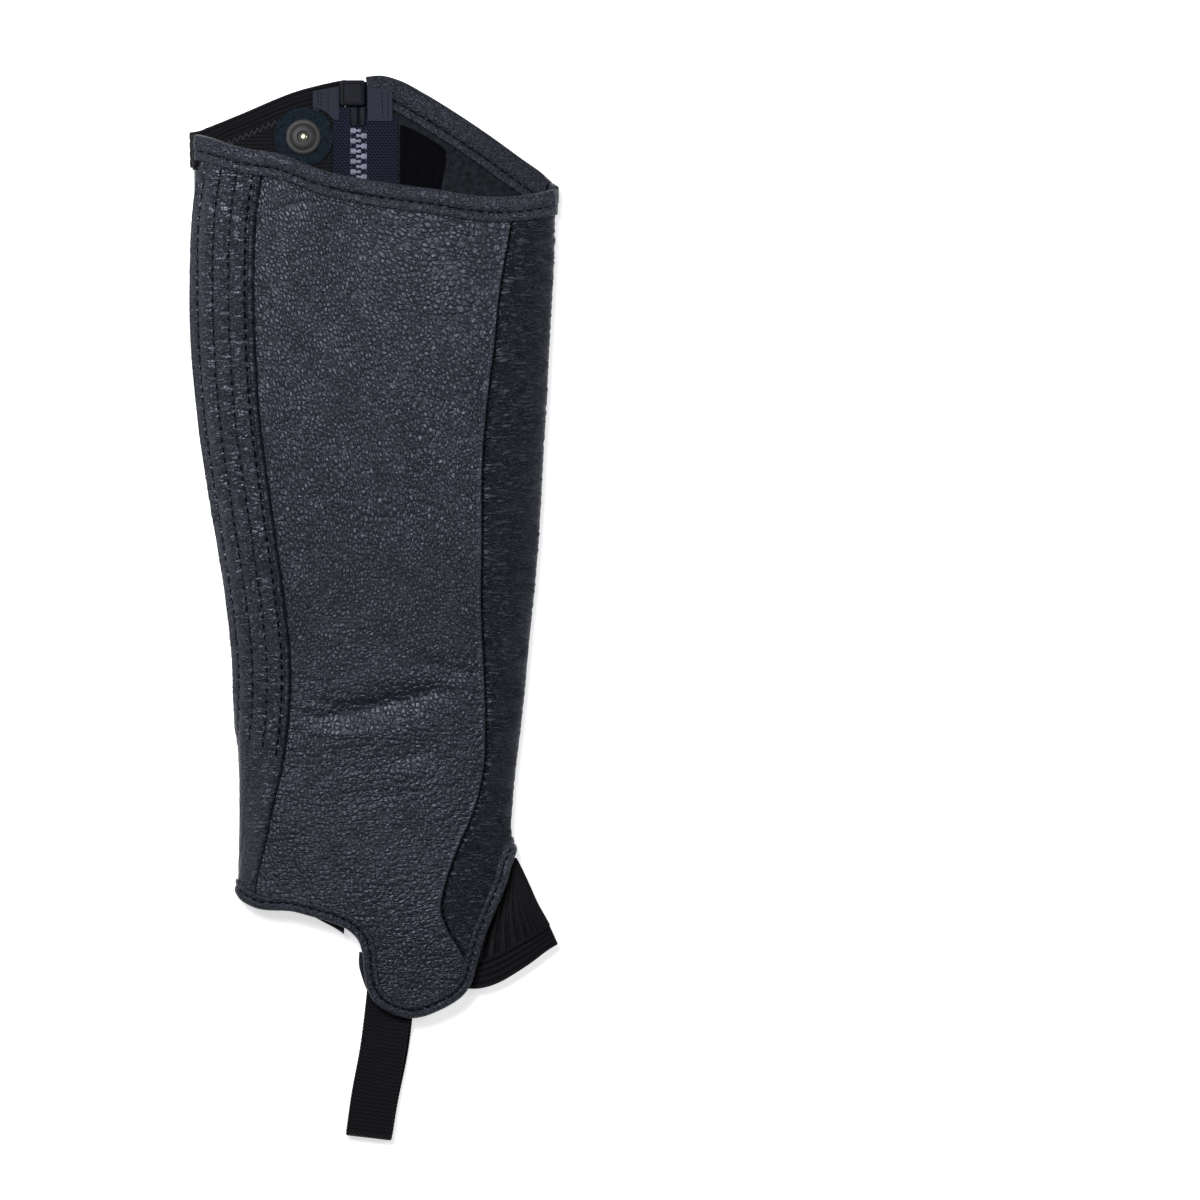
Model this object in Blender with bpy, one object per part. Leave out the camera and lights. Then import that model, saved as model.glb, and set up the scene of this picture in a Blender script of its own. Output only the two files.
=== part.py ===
"""Half chap for a left leg, laid flat on its zip side with its inner-leg side up.

+X points to the shin fold, +Y up the leg and +Z away from the surface it lies on. The origin is on that surface,
under the middle of the piece. Sizes are in millimetres, and become metres as each mesh is made.
"""

import math

import bpy
import numpy as np
from mathutils import Vector
from mathutils.geometry import delaunay_2d_cdt

MM = 0.001

# ---- thicknesses and clearances ----
GAP = 0.3
LEATHER = 1.8
BINDING = 1.0
STRETCH = 1.8
STRAP = 1.4
TAPE = 0.7
PATCH = 0.6
GUSSET = 1.4

# ---- the flattened tube: one section for each height on the leg ----
# y, back fold, shin fold, height of the upper layer
SECTIONS = (
    (280.0, -94.8, 97.0, 17.5),
    (248.0, -94.8, 96.6, 17.5),
    (214.0, -94.5, 95.3, 17.5),
    (188.0, -96.1, 94.5, 17.5),
    (161.0, -96.9, 93.2, 17.5),
    (135.0, -96.1, 91.9, 17.4),
    (109.0, -93.7, 90.6, 17.2),
    (83.0, -90.6, 88.9, 17.0),
    (56.0, -85.8, 87.6, 16.6),
    (30.0, -81.1, 86.0, 16.2),
    (4.0, -76.9, 83.7, 15.8),
    (-22.0, -74.2, 80.9, 15.4),
    (-48.0, -72.9, 78.4, 15.0),
    (-75.0, -71.2, 75.6, 14.8),
    (-101.0, -70.7, 72.7, 14.7),
    (-117.0, -70.7, 71.8, 14.6),
    (-127.0, -70.9, 74.0, 14.5),
    (-134.0, -71.1, 79.5, 14.5),
    (-144.0, -71.6, 85.3, 14.5),
    (-155.0, -71.8, 90.0, 14.4),
    (-166.0, -71.8, 96.0, 14.1),
    (-176.0, -71.8, 101.0, 13.7),
    (-200.0, -71.8, 111.0, 12.5),
    (-217.0, -71.8, 117.0, 11.6),
)
SHIN_TIP = 0.42      # height of the shin fold's outermost line, as a share of the section's height
BACK_TIP = 0.34
SHIN_RUN = 8.0       # how far the wall curves in under the shin fold before it lies flat
BACK_RUN = 6.0
CROWN_RISE = 0.9     # fullness of a fold, upwards
CROWN_REACH = 0.65   # fullness of a fold, sideways

# Instep gusset, folded between the layers: y, shin fold
GUSSET_SECTIONS = (
    (-120.0, 69.5),
    (-127.0, 72.2),
    (-134.0, 75.9),
    (-144.0, 80.6),
    (-154.5, 85.3),
    (-165.0, 91.1),
    (-176.0, 96.2),
    (-200.0, 107.0),
)
GUSSET_BACK = -71.0
GUSSET_FLOOR = 4.2
GUSSET_CROWN = ((-200.0, 7.7), (-185.0, 7.9), (-165.0, 8.4), (-120.0, 8.4))

# ---- edges and seams, as seen from above: x, y ----
UPPER_TOP = (
    (-96.9, 248.7), (-92.7, 247.9), (-68.5, 240.6), (-48.6, 237.2), (-28.6, 229.6), (-8.1, 224.8),
    (11.8, 221.6), (34.4, 218.6), (45.4, 216.7), (65.4, 214.9), (81.1, 216.2), (97.2, 219.8),
)
LOWER_TOP = (
    (-96.9, 248.7), (-83.2, 254.0), (-66.7, 260.8), (-52.8, 266.8), (-40.7, 271.4), (-32.3, 273.7),
    (-18.6, 276.8), (-4.5, 279.0), (3.9, 279.6), (12.6, 277.3), (26.8, 269.9), (44.9, 258.7),
    (62.7, 246.6), (76.4, 236.6), (90.6, 226.2), (97.2, 219.8),
)
BACK_SEAM = (
    (-57.6, 236.0), (-58.5, 228.8), (-62.0, 205.7), (-63.3, 172.1), (-62.6, 135.3), (-60.1, 97.5),
    (-55.9, 65.0), (-51.7, 34.5), (-47.5, 4.1), (-44.4, -29.5), (-45.4, -60.0), (-48.6, -83.1),
    (-53.8, -105.7), (-59.1, -129.8), (-62.0, -142.4), (-63.6, -158.0),
)
SHIN_SEAM = (
    (74.0, 217.0), (72.7, 202.0), (69.0, 180.0), (65.9, 158.9), (63.8, 135.3), (62.0, 122.7),
    (58.0, 81.2), (57.3, 40.8), (57.0, 4.1), (58.5, -35.8), (59.3, -63.1), (58.0, -86.8),
    (51.7, -109.9), (43.8, -128.2), (37.6, -147.1), (35.9, -158.2), (39.1, -168.1), (45.7, -179.0),
    (53.0, -191.5),
)
# Outer line of the upper layer's hem, with the ankle tab, from the back fold to the shin fold
UPPER_HEM = (
    (-69.0, -153.6), (-62.2, -157.1), (-41.7, -159.2), (-31.2, -162.0), (-21.8, -164.8), (-13.6, -168.6),
    (-8.2, -174.0), (-6.0, -181.0), (-5.2, -190.0), (-3.7, -198.6), (-0.3, -205.6), (6.0, -210.9),
    (12.5, -213.7), (19.7, -214.9), (26.5, -213.9), (34.0, -211.0), (41.0, -207.4), (46.4, -203.4),
    (50.7, -197.4), (53.8, -187.6), (58.5, -171.4), (63.8, -158.2), (69.4, -144.0), (72.2, -134.0),
)
HEM_AT_BACK_FOLD = -149.8
HEM_AT_SHIN_FOLD = -127.4
# Outer line of the lower layer's hem: behind the zip, then in front of it
BACK_HEM = (
    (-69.0, -149.6), (-65.0, -150.8), (-60.0, -152.6), (-47.0, -156.0), (-36.0, -160.2), (-26.0, -165.2),
    (-20.0, -168.4), (-15.8, -171.2),
)
FRONT_HEM = (
    (-8.0, -180.5), (-8.2, -187.0), (-6.6, -194.0), (-3.4, -201.7), (2.9, -207.6), (11.0, -210.4),
    (19.7, -211.2), (28.0, -210.2), (36.4, -207.0), (45.0, -201.0), (50.0, -192.0), (52.6, -184.0),
    (56.5, -169.2), (60.0, -156.1), (62.4, -146.0), (65.2, -138.0), (68.2, -132.4), (71.6, -128.8),
)
# Seam under the leg between the shin panel and the outer front panel: y, x
UNDER_SEAM = (
    (-172.0, 56.4), (-160.0, 54.2), (-140.0, 50.4), (-120.0, 47.6), (-101.0, 47.0), (-75.0, 49.6),
    (-48.0, 52.4), (-22.0, 54.9), (4.0, 57.7), (30.0, 60.0), (56.0, 61.6), (83.0, 62.9), (109.0, 64.6),
    (135.0, 65.9), (161.0, 67.2), (188.0, 68.5), (214.0, 69.3), (248.0, 70.6),
)

# ---- folds across the upper layer: from x, y, to x, y, half width, depth (a negative depth is a ridge) ----
FOLDS = (
    (-30.0, -56.0, -2.0, -51.0, 5.0, 1.5),
    (-2.0, -51.0, 27.0, -45.0, 5.0, 1.5),
    (-22.0, -63.0, 18.0, -59.0, 6.0, -0.8),
    (26.0, -28.0, 52.0, -35.0, 5.0, 0.8),
    (8.0, -78.0, 40.0, -73.0, 7.0, 0.7),
    (-44.4, -123.0, -38.1, -147.0, 4.0, 0.7),
    (-23.4, -124.0, -15.5, -148.0, 4.5, 0.8),
    (-52.0, 207.0, -30.0, 212.5, 4.0, 0.6),
)

# ---- stitched strip at the back ----
STRIP_WIDTH = 48.0
STRIP_ROWS_LOW = np.array([0.0, 8.2, 14.5])     # grid rows under the hem's binding and just above it
STRIP_ROWS_HIGH = np.array([20.0, 14.3, 0.0])
ROW_FIRST = 4.0      # first stitch row, from the seam
ROW_PITCH = 8.6
ROW_COUNT = 4
ROW_SQUEEZE = ((-60.0, 0.88), (228.0, 1.0))
ROW_FADE = (-88.0, -62.0)
CHANNEL_RISE = 0.8
WELT_WIDTH = 2.8
WELT_RISE = 0.35
STRIP_NOTCH = 33.3   # distance from the seam where the elastic band begins
STRIP_NOTCH_Y = 229.2
BAND_START_TURN = 1.9

# ---- bindings ----
EDGE_INSET = 1.6     # from the binding's outer line to the edge it covers
TOP_LEAF = 13.5
TOP_STITCH = 8.4
HEM_LEAF = 7.4
HEM_STITCH = 4.2
INNER_LEAF = 7.0
FACING_THICK = 0.9
FACING = 16.0
FACING_STITCH = 11.4

# ---- elastic band along the back of the mouth ----
BAND_THICK = 1.45
BAND_WIDTH = 12.6
BAND_WIDTH_AT_FOLD = 18.8
BAND_RIBS = 4
RIB_RISE = 0.3

# ---- gusset ----
PLEATS = 26
PLEAT_RISE = 0.5
GUSSET_TOP = -135.0
FAN_LINE = ((0.0, -165.4), (0.18, -171.0), (0.45, -179.6), (0.75, -185.6), (1.0, -188.4))
HEM_LINE = ((0.0, -175.8), (0.12, -179.6), (0.40, -190.6), (0.70, -197.4), (1.0, -199.6))
FAN_SIDE = ((-200.0, 46.0), (-188.0, 49.4), (-170.0, 54.2), (-150.0, 62.4), (-135.0, 68.6))

# ---- zip ----
ZIP_X = -8.3
ZIP_TOP = 252.6
BOX_LOW_Y = 263.3
BOX_THICK = 4.0
TAPE_BACK = -21.6
TAPE_FRONT = 12.2
CHAIN_WIDTH = 8.8
CHAIN_THICK = 3.4
CHAIN_MIDDLE = 2.4
OPEN_HALF = 7.4      # from the chain's middle to each panel's edge
SLIDER_Y = -160.0
SLIDER_LIFT = 4.5    # the lower layer rises over the slider and its pull
SLIDER_LENGTH = 16.0
SLIDER_WIDTH = 13.0
SLIDER_PLATE = 1.1
RISE_ACROSS = (-64.0, -22.0, 12.4, 48.0)   # x where the rise begins, is full, begins to fall and ends
RISE_ALONG = (-205.0, -173.0, -146.0, -104.0)
PULL_LENGTH = 18.0
PULL_WIDTH = 7.0
PULL_THICK = 1.4
PULL_AXIS_DROP = 1.25

# ---- snap ----
SNAP_X = -37.3
SNAP_Y = 247.1
SNAP_PATCH_RADIUS = 15.6
SNAP_RADIUS = 9.2

# ---- foot strap: centre line seen from above, x and y ----
STRAP_LINE = ((8.6, -196.0), (7.4, -208.0), (4.4, -231.7), (-0.4, -258.0), (-3.2, -278.2))
STRAP_WIDTH = 23.8
STRAP_END = 3.6      # outer radius of the loop's end
STRAP_SHIFT = 1.4    # the lower run lies this much nearer the shin


# ---- curves ----

def curve(stations, values):
    """Smooth function through the values at ascending stations."""
    at = np.asarray(stations, float)
    value = np.asarray(values, float)
    slope = np.gradient(value, at)

    def evaluate(x):
        x = np.clip(x, at[0], at[-1])
        k = np.clip(np.searchsorted(at, x, side="right") - 1, 0, len(at) - 2)
        step = at[k + 1] - at[k]
        t = (x - at[k]) / step
        low = value[k] * (1 + 2 * t) * (1 - t) ** 2 + step * slope[k] * t * (1 - t) ** 2
        high = value[k + 1] * t * t * (3 - 2 * t) - step * slope[k + 1] * t * t * (1 - t)
        return low + high

    return evaluate


def column(table, index):
    return np.array([row[index] for row in table], float)


def by_y(table, index, y_index=0):
    """Smooth function of y through one column of a table whose y runs either way."""
    ys = column(table, y_index)
    order = np.argsort(ys)
    return curve(ys[order], column(table, index)[order])


def smooth_step(x, low, high):
    t = np.clip((x - low) / (high - low), 0.0, 1.0)
    return t * t * (3 - 2 * t)


def path(points, stations):
    """Points along the smooth line through the given points, at distances, or at even steps if it is a count."""
    points = np.asarray(points, float)
    length = np.concatenate(([0.0], np.cumsum(np.hypot(*np.diff(points, axis=0).T))))
    if np.ndim(stations) == 0:
        stations = np.linspace(0.0, length[-1], stations)
    else:
        stations = np.asarray(stations) * length[-1] / stations[-1]
    return np.stack([curve(length, points[:, 0])(stations), curve(length, points[:, 1])(stations)], axis=-1)


def steps(*spans):
    """Stations along a line, from pairs of a length and the number of steps that it takes."""
    at = [0.0]
    for length, count in spans:
        at += [at[-1] + length / count * (k + 1) for k in range(count)]
    return at


def inward(line, side):
    """Unit normals of a line, to its left (side 1) or right (side -1)."""
    along = np.gradient(line, axis=0)
    along /= np.linalg.norm(along, axis=1, keepdims=True)
    return side * np.stack([-along[:, 1], along[:, 0]], axis=-1)


# ---- the tube ----

def bezier(a, b, c, d, t):
    return a * (1 - t) ** 3 + 3 * b * (1 - t) ** 2 * t + 3 * c * (1 - t) * t * t + d * t ** 3


def fold_drop(x, y):
    """How far the upper layer's folds lower it at a place seen from above."""
    drop = np.zeros(np.broadcast(x, y).shape)
    for x0, y0, x1, y1, half_width, depth in FOLDS:
        run = np.array([x1 - x0, y1 - y0])
        share = np.clip(((x - x0) * run[0] + (y - y0) * run[1]) / (run @ run), 0.0, 1.0)
        distance = np.hypot(x - x0 - share * run[0], y - y0 - share * run[1])
        drop += depth * np.exp(-((distance / half_width) ** 2))
    return drop


def slider_bump(x, y):
    """How far the lower layer rises over the slider."""
    across = smooth_step(x, *RISE_ACROSS[:2]) - smooth_step(x, *RISE_ACROSS[2:])
    along = smooth_step(y, *RISE_ALONG[:2]) - smooth_step(y, *RISE_ALONG[2:])
    return SLIDER_LIFT * across * along


class Tube:
    """A flattened tube. A place on it has a turn, which is 0 at the shin fold, 1 in the middle of the upper layer
    and 2 at the back fold. Past either fold one more turn is the quarter that curves in under the fold, and the
    rest lies flat. A depth is measured inwards from the outer face."""

    TURNS = np.linspace(-3.0, 6.0, 181)
    MIDDLE_TURN = 80

    def __init__(self, front, back, crown, floor, folded):
        self.front = front
        self.back = back
        self.crown = crown
        self.floor = floor
        self.folded = folded

    def point(self, turn, y, depth=0.0):
        turn, y, depth = np.broadcast_arrays(*(np.asarray(v, float) for v in (turn, y, depth)))
        front, back = self.front(y), self.back(y)
        middle = (front + back) / 2
        height = self.crown(y) - self.floor
        shin = turn < 1
        edge = np.where(shin, front, back)
        side = np.where(shin, 1.0, -1.0)
        tip_z = self.floor + height * np.where(shin, SHIN_TIP, BACK_TIP)
        run = np.where(shin, SHIN_RUN, BACK_RUN)

        half = np.clip(np.where(shin, turn, 2 - turn), 0.0, 1.0)
        tip_x = edge - side * depth
        top = self.floor + height - depth
        x_over = bezier(tip_x, tip_x, middle + CROWN_REACH * (tip_x - middle), middle, half)
        z_over = bezier(tip_z, tip_z + CROWN_RISE * (top - tip_z), top, top, half)
        if self.folded:
            z_over = z_over - fold_drop(x_over, y)

        under = np.maximum(np.where(shin, -turn, turn - 2), 0.0)
        angle = np.minimum(under, 1.0) * math.pi / 2
        past = np.maximum(under - 1, 0.0) * run * math.pi / 2
        x_under = edge - side * (run - (run - depth) * np.cos(angle) + past)
        z_under = tip_z - (tip_z - self.floor - depth) * np.sin(angle)
        if self.folded:
            z_under = z_under + slider_bump(x_under, y) * smooth_step(under, 0.8, 1.2)

        over = under <= 0
        return np.stack([np.where(over, x_over, x_under), y, np.where(over, z_over, z_under)], axis=-1)

    def turn_at(self, x, y):
        """The turn of a place on the upper layer seen from above."""
        x, y = np.broadcast_arrays(np.asarray(x, float), np.asarray(y, float))
        front, back = self.front(y), self.back(y)
        middle = (front + back) / 2
        shin = x > middle
        share = np.clip((x - middle) / (np.where(shin, front, back) - middle), 0.0, 1.0)
        low, high = np.zeros(share.shape), np.ones(share.shape)
        for _ in range(30):
            t = (low + high) / 2
            inside = bezier(1.0, 1.0, CROWN_REACH, 0.0, t) > share
            low, high = np.where(inside, t, low), np.where(inside, high, t)
        return np.where(shin, t, 2 - t)

    def girths(self, y):
        """Lengths along the section at each of TURNS, which equal x in the middle of the upper layer."""
        points = self.point(self.TURNS, np.asarray(y, float)[..., None])
        steps = np.linalg.norm(np.diff(points, axis=-2), axis=-1)
        length = np.concatenate([np.zeros(steps.shape[:-1] + (1,)), np.cumsum(steps, axis=-1)], axis=-1)
        middle = self.MIDDLE_TURN
        return points[..., middle, 0][..., None] + length[..., middle][..., None] - length

    def girth(self, turn, y):
        turn, y = np.broadcast_arrays(np.asarray(turn, float), np.asarray(y, float))
        at = (turn - self.TURNS[0]) / (self.TURNS[1] - self.TURNS[0])
        k = np.clip(at.astype(int), 0, len(self.TURNS) - 2)
        g = self.girths(y)
        low = np.take_along_axis(g, k[..., None], -1)[..., 0]
        high = np.take_along_axis(g, k[..., None] + 1, -1)[..., 0]
        return low + (high - low) * (at - k)

    def over(self, u, y, depth=0.0):
        """Place of a pattern point of the upper layer: u runs across the leather, and is x near its middle."""
        u, y = np.broadcast_arrays(np.asarray(u, float), np.asarray(y, float))
        g = self.girths(y)
        k = np.clip((g > u[..., None]).sum(axis=-1) - 1, 0, len(self.TURNS) - 2)
        low = np.take_along_axis(g, k[..., None], -1)[..., 0]
        high = np.take_along_axis(g, k[..., None] + 1, -1)[..., 0]
        turn = self.TURNS[k] + (u - low) / (high - low) * (self.TURNS[1] - self.TURNS[0])
        return self.point(turn, y, depth)

    def seen(self, x, y):
        """Pattern position u of a place on the upper layer seen from above."""
        return self.girth(self.turn_at(x, y), y)

    def turn_below(self, w, y):
        """The turn of a pattern point of the lower layer: w is x where it lies flat, and runs on up a fold."""
        front, back = self.front(y), self.back(y)
        shin = w > (front + back) / 2
        return np.where(
            shin,
            -1 - (w - front + SHIN_RUN) / (-SHIN_RUN * math.pi / 2),
            3 + (w - back - BACK_RUN) / (BACK_RUN * math.pi / 2),
        )

    def below(self, w, y, depth=0.0):
        """Place of a pattern point of the lower layer."""
        w, y = np.broadcast_arrays(np.asarray(w, float), np.asarray(y, float))
        return self.point(self.turn_below(w, y), y, depth)

    def joined(self, line):
        """A line of the lower layer's pattern, as pattern points of the upper layer."""
        return np.stack([self.girth(self.turn_below(line[:, 0], line[:, 1]), line[:, 1]), line[:, 1]], axis=-1)


LEG = Tube(by_y(SECTIONS, 2), by_y(SECTIONS, 1), by_y(SECTIONS, 3), 0.0, True)
FAN = Tube(
    by_y(GUSSET_SECTIONS, 1),
    lambda y: np.full(np.shape(y), GUSSET_BACK),
    by_y(GUSSET_CROWN, 1),
    GUSSET_FLOOR,
    False,
)

upper_top = curve(column(UPPER_TOP, 0), column(UPPER_TOP, 1))
lower_top = curve(column(LOWER_TOP, 0), column(LOWER_TOP, 1))
back_seam_x = by_y(BACK_SEAM, 0, 1)
shin_seam_x = by_y(SHIN_SEAM, 0, 1)
under_seam_x = by_y(UNDER_SEAM, 1)


def back_seam(y):
    return LEG.seen(back_seam_x(y), y)


def shin_seam(y):
    return LEG.seen(shin_seam_x(y), y)


# ---- meshes ----

def material(name, colour, roughness, metallic=0.0):
    made = bpy.data.materials.new(name)
    made.use_nodes = True
    shader = made.node_tree.nodes["Principled BSDF"]
    shader.inputs["Base Color"].default_value = (*colour, 1.0)
    shader.inputs["Roughness"].default_value = roughness
    shader.inputs["Metallic"].default_value = metallic
    return made


def solid(name, points, faces, finish):
    """One closed body, with its faces turned outwards."""
    points = np.asarray(points, float)
    volume = 0.0
    for face in faces:
        a = points[face[0]]
        for b, c in zip(face[1:-1], face[2:]):
            volume += a @ np.cross(points[b], points[c])
    if volume < 0:
        faces = [face[::-1] for face in faces]
    mesh = bpy.data.meshes.new(name)
    mesh.from_pydata([tuple(p) for p in points * MM], [], [tuple(int(k) for k in face) for face in faces])
    mesh.materials.append(finish)
    mesh.shade_smooth()
    mesh.set_sharp_from_angle(angle=math.radians(40))
    thing = bpy.data.objects.new(name, mesh)
    bpy.context.collection.objects.link(thing)
    return thing


def grid_faces(rows, columns, start=0):
    k = start + np.arange(rows * columns).reshape(rows, columns)
    quads = np.stack([k[:-1, :-1], k[:-1, 1:], k[1:, 1:], k[1:, :-1]], axis=-1)
    return quads.reshape(-1, 4).tolist()


def wall(name, outer, inner, finish):
    """A wall between two grids of points of the same shape."""
    rows, columns = outer.shape[:2]
    count = rows * columns
    k = np.arange(count).reshape(rows, columns)
    faces = grid_faces(rows, columns)
    faces += [face[::-1] for face in grid_faces(rows, columns, count)]
    rim = np.concatenate([k[0, :-1], k[:-1, -1], k[-1, :0:-1], k[:0:-1, 0]])
    for a, b in zip(rim, np.roll(rim, -1)):
        faces.append([b, a, a + count, b + count])
    points = np.concatenate([outer.reshape(-1, 3), inner.reshape(-1, 3)])
    return solid(name, points, faces, finish)


def prism(name, outline, low, high, finish):
    """An outline seen from above, made as thick as from low to high."""
    count = len(outline)
    points = [(x, y, z) for z in (low, high) for x, y in outline]
    faces = [list(range(count))[::-1], list(range(count, 2 * count))]
    faces += [[k, (k + 1) % count, (k + 1) % count + count, k + count] for k in range(count)]
    return solid(name, points, faces, finish)


def box(name, low, high, finish):
    corners = ((low[0], low[1]), (high[0], low[1]), (high[0], high[1]), (low[0], high[1]))
    return prism(name, corners, low[2], high[2], finish)


def inside(outline, points, margin):
    """Those of the points that lie within an outline, and further than a margin from it."""
    a, b = outline, np.roll(outline, -1, axis=0)
    run = b - a
    p = points[:, None]
    share = np.clip(((p - a) * run).sum(-1) / (run * run).sum(-1), 0.0, 1.0)
    distance = np.linalg.norm(p - a - share[..., None] * run, axis=-1).min(axis=1)
    crosses = (a[:, 1] > p[..., 1]) != (b[:, 1] > p[..., 1])
    with np.errstate(divide="ignore", invalid="ignore"):
        at = a[:, 0] + (p[..., 1] - a[:, 1]) * run[:, 0] / run[:, 1]
    within = (crosses & (p[..., 0] < at)).sum(axis=1) % 2 == 1
    return points[within & (distance > margin)]


def panel(name, outline, points, margin, place, thick, finish):
    """A wall over an outline in a pattern, with points inside it to carry its shape."""
    loop = np.asarray(outline, float)
    spots = np.concatenate([loop, inside(loop, points, margin)])
    rim = [(k, (k + 1) % len(loop)) for k in range(len(loop))]
    flat, _, faces, *_ = delaunay_2d_cdt([Vector(p) for p in spots.tolist()], rim, [], 1, 1e-5)
    flat = np.array([tuple(p) for p in flat])
    count = len(flat)
    sides = {(face[k], face[(k + 1) % 3]) for face in faces for k in range(3)}
    both = [list(face) for face in faces] + [[k + count for k in reversed(face)] for face in faces]
    both += [[b, a, a + count, b + count] for a, b in sorted(sides) if (b, a) not in sides]
    outer = place(flat[:, 0], flat[:, 1], 0.0)
    inner = place(flat[:, 0], flat[:, 1], thick)
    return solid(name, np.concatenate([outer, inner]), both, finish)


def split(line, seam):
    """The parts of a line before and after it first crosses a seam."""
    gap = line[:, 0] - seam(line[:, 1])
    k = int(np.argmax(np.sign(gap[1:]) != np.sign(gap[:-1])))
    share = gap[k] / (gap[k] - gap[k + 1])
    foot = line[k] + share * (line[k + 1] - line[k])
    return np.concatenate([line[:k + 1], foot[None]]), np.concatenate([foot[None], line[k + 1:]])


def side_line(seam, low, high, pitch):
    """Pattern points up a seam between two heights, without its ends."""
    count = max(int(round((high - low) / pitch)), 2)
    y = np.linspace(low, high, count + 1)[1:-1]
    return np.stack([seam(y), y], axis=-1)


# ---- the hem's outer lines ----

def upper_hem_points():
    """The upper layer's hem as pattern points, from under the back fold to under the shin fold."""
    x, y = np.array(UPPER_HEM).T
    line = np.stack([LEG.seen(x, y), y], axis=-1)
    back_y = np.array([HEM_AT_BACK_FOLD + 0.6, HEM_AT_BACK_FOLD])
    back = np.stack([LEG.girth(np.array([2.3, 2.0]), back_y), back_y], axis=-1)
    shin_y = np.array([HEM_AT_SHIN_FOLD, HEM_AT_SHIN_FOLD - 0.3])
    shin = np.stack([LEG.girth(np.array([0.0, -0.22]), shin_y), shin_y], axis=-1)
    return np.concatenate([back, line, shin])


hem_line = path(upper_hem_points(), steps((15.0, 9), (66.0, 14), (90.0, 22), (58.0, 13), (14.0, 6), (12.0, 12)))
hem_inward = inward(hem_line, 1)
hem_edge = hem_line + EDGE_INSET * hem_inward

front_hem = path(FRONT_HEM, steps((150.0, 31), (20.0, 8)))
front_hem_inward = inward(front_hem, 1)
front_hem_edge = front_hem + EDGE_INSET * front_hem_inward

back_hem = path(BACK_HEM, steps((9.0, 4), (50.0, 8)))
back_hem_inward = np.tile([0.0, 1.0], (len(back_hem), 1))
back_hem_edge = back_hem + EDGE_INSET * back_hem_inward

around_hem = np.concatenate([LEG.joined(back_hem_edge)[::-1], hem_edge, LEG.joined(front_hem_edge)[::-1]])

def mouth_y(turn, x):
    return np.where((turn >= 0) & (turn <= 2), upper_top(x), lower_top(x))


def mouth_line(turn, inset):
    """The mouth's edge as pattern points at the given turns, moved down by an inset."""
    y = np.full(np.shape(turn), 220.0)
    for _ in range(12):
        y = mouth_y(turn, LEG.point(turn, y)[..., 0]) - inset
    return np.stack([LEG.girth(turn, y), y], axis=-1)


mouth_turns = np.concatenate([
    np.linspace(1.87, 1.5, 7), np.linspace(1.5, 0.5, 15)[1:], np.linspace(0.5, -0.4, 11)[1:],
])
mouth = mouth_line(mouth_turns, 0.0)
mouth_edge = mouth + [0.0, -EDGE_INSET]


def outer_mouth_line():
    """The lower layer's mouth in front of the zip, from the zip to the shin fold."""
    y = 222.0
    for _ in range(10):
        w = LEG.front(y) - SHIN_RUN + 0.5 * SHIN_RUN * math.pi / 2
        y = lower_top(LEG.below(w, y)[0])
    across = np.concatenate([np.linspace(ZIP_X + OPEN_HALF, w - 14.0, 18), np.linspace(w - 14.0, w, 7)[1:]])
    height = np.full(across.shape, 230.0)
    for _ in range(12):
        height = lower_top(LEG.below(across, height)[..., 0])
    return np.stack([across, height], axis=-1)


outer_mouth = outer_mouth_line()
outer_mouth_inward = inward(outer_mouth, -1)
outer_mouth_edge = outer_mouth + EDGE_INSET * outer_mouth_inward


def beside(seam, distance):
    return lambda y: seam(y) + distance


def under_seam(y):
    """The seam under the leg, as a pattern line of the upper layer."""
    return LEG.girth(LEG.turn_below(under_seam_x(y), y), y)


def turn_points(turns, heights):
    """Pattern points at each of the turns and heights."""
    turn, y = np.meshgrid(turns, heights)
    return np.stack([LEG.girth(turn, y), y], axis=-1).reshape(-1, 2)


PANEL_ROWS = np.concatenate([
    np.linspace(-206.0, -78.0, 15), np.linspace(-70.0, -36.0, 8), [-30.0, -22.0], np.linspace(-8.0, 228.0, 13),
])


# ---- leather panels ----

def centre_panel(finish):
    """Between the back seam and the shin seam, with the ankle tab below."""
    back = beside(back_seam, GAP / 2)
    shin = beside(shin_seam, -GAP / 2)
    foot = split(split(around_hem, back)[1], shin)[0]
    head = split(split(mouth_edge, back)[1], shin)[0]
    up = side_line(shin, foot[-1, 1], head[-1, 1], 12.0)
    down = side_line(back, foot[0, 1], head[0, 1], 12.0)[::-1]
    outline = np.concatenate([foot, up, head[::-1], down])
    points = turn_points(np.linspace(0.2, 1.8, 17), PANEL_ROWS)
    panel("centre_panel", outline, points, 3.4, LEG.over, LEATHER, finish)


def shin_panel(finish):
    """From the shin seam round the shin fold and in under the leg."""
    shin = beside(shin_seam, GAP / 2)
    under = beside(under_seam, -GAP / 2)
    foot = split(split(around_hem, shin)[1], under)[0]
    lower_head = LEG.joined(outer_mouth_edge)[::-1]
    head = np.concatenate([split(mouth_edge, shin)[1], split(lower_head, under)[0]])
    up = side_line(under, foot[-1, 1], head[-1, 1], 14.0)
    down = side_line(shin, foot[0, 1], head[0, 1], 12.0)[::-1]
    outline = np.concatenate([foot, up, head[::-1], down])
    turns = np.concatenate([np.linspace(-1, 0.0, 6), np.linspace(0.0, 0.6, 7)[1:], [-1.7]])
    rows = np.concatenate([
        np.linspace(-180.0, -132.0, 8), np.linspace(-124.0, -112.0, 6), [-102.0, -90.0], np.linspace(-74.0, 204.0, 15),
        [214.0, 224.0],
    ])
    panel("shin_panel", outline, turn_points(turns, rows), 1.6, LEG.over, LEATHER, finish)


def squeeze(y):
    (low_y, low), (high_y, high) = ROW_SQUEEZE
    return low + (high - low) * np.clip((y - low_y) / (high_y - low_y), 0.0, 1.0)


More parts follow.
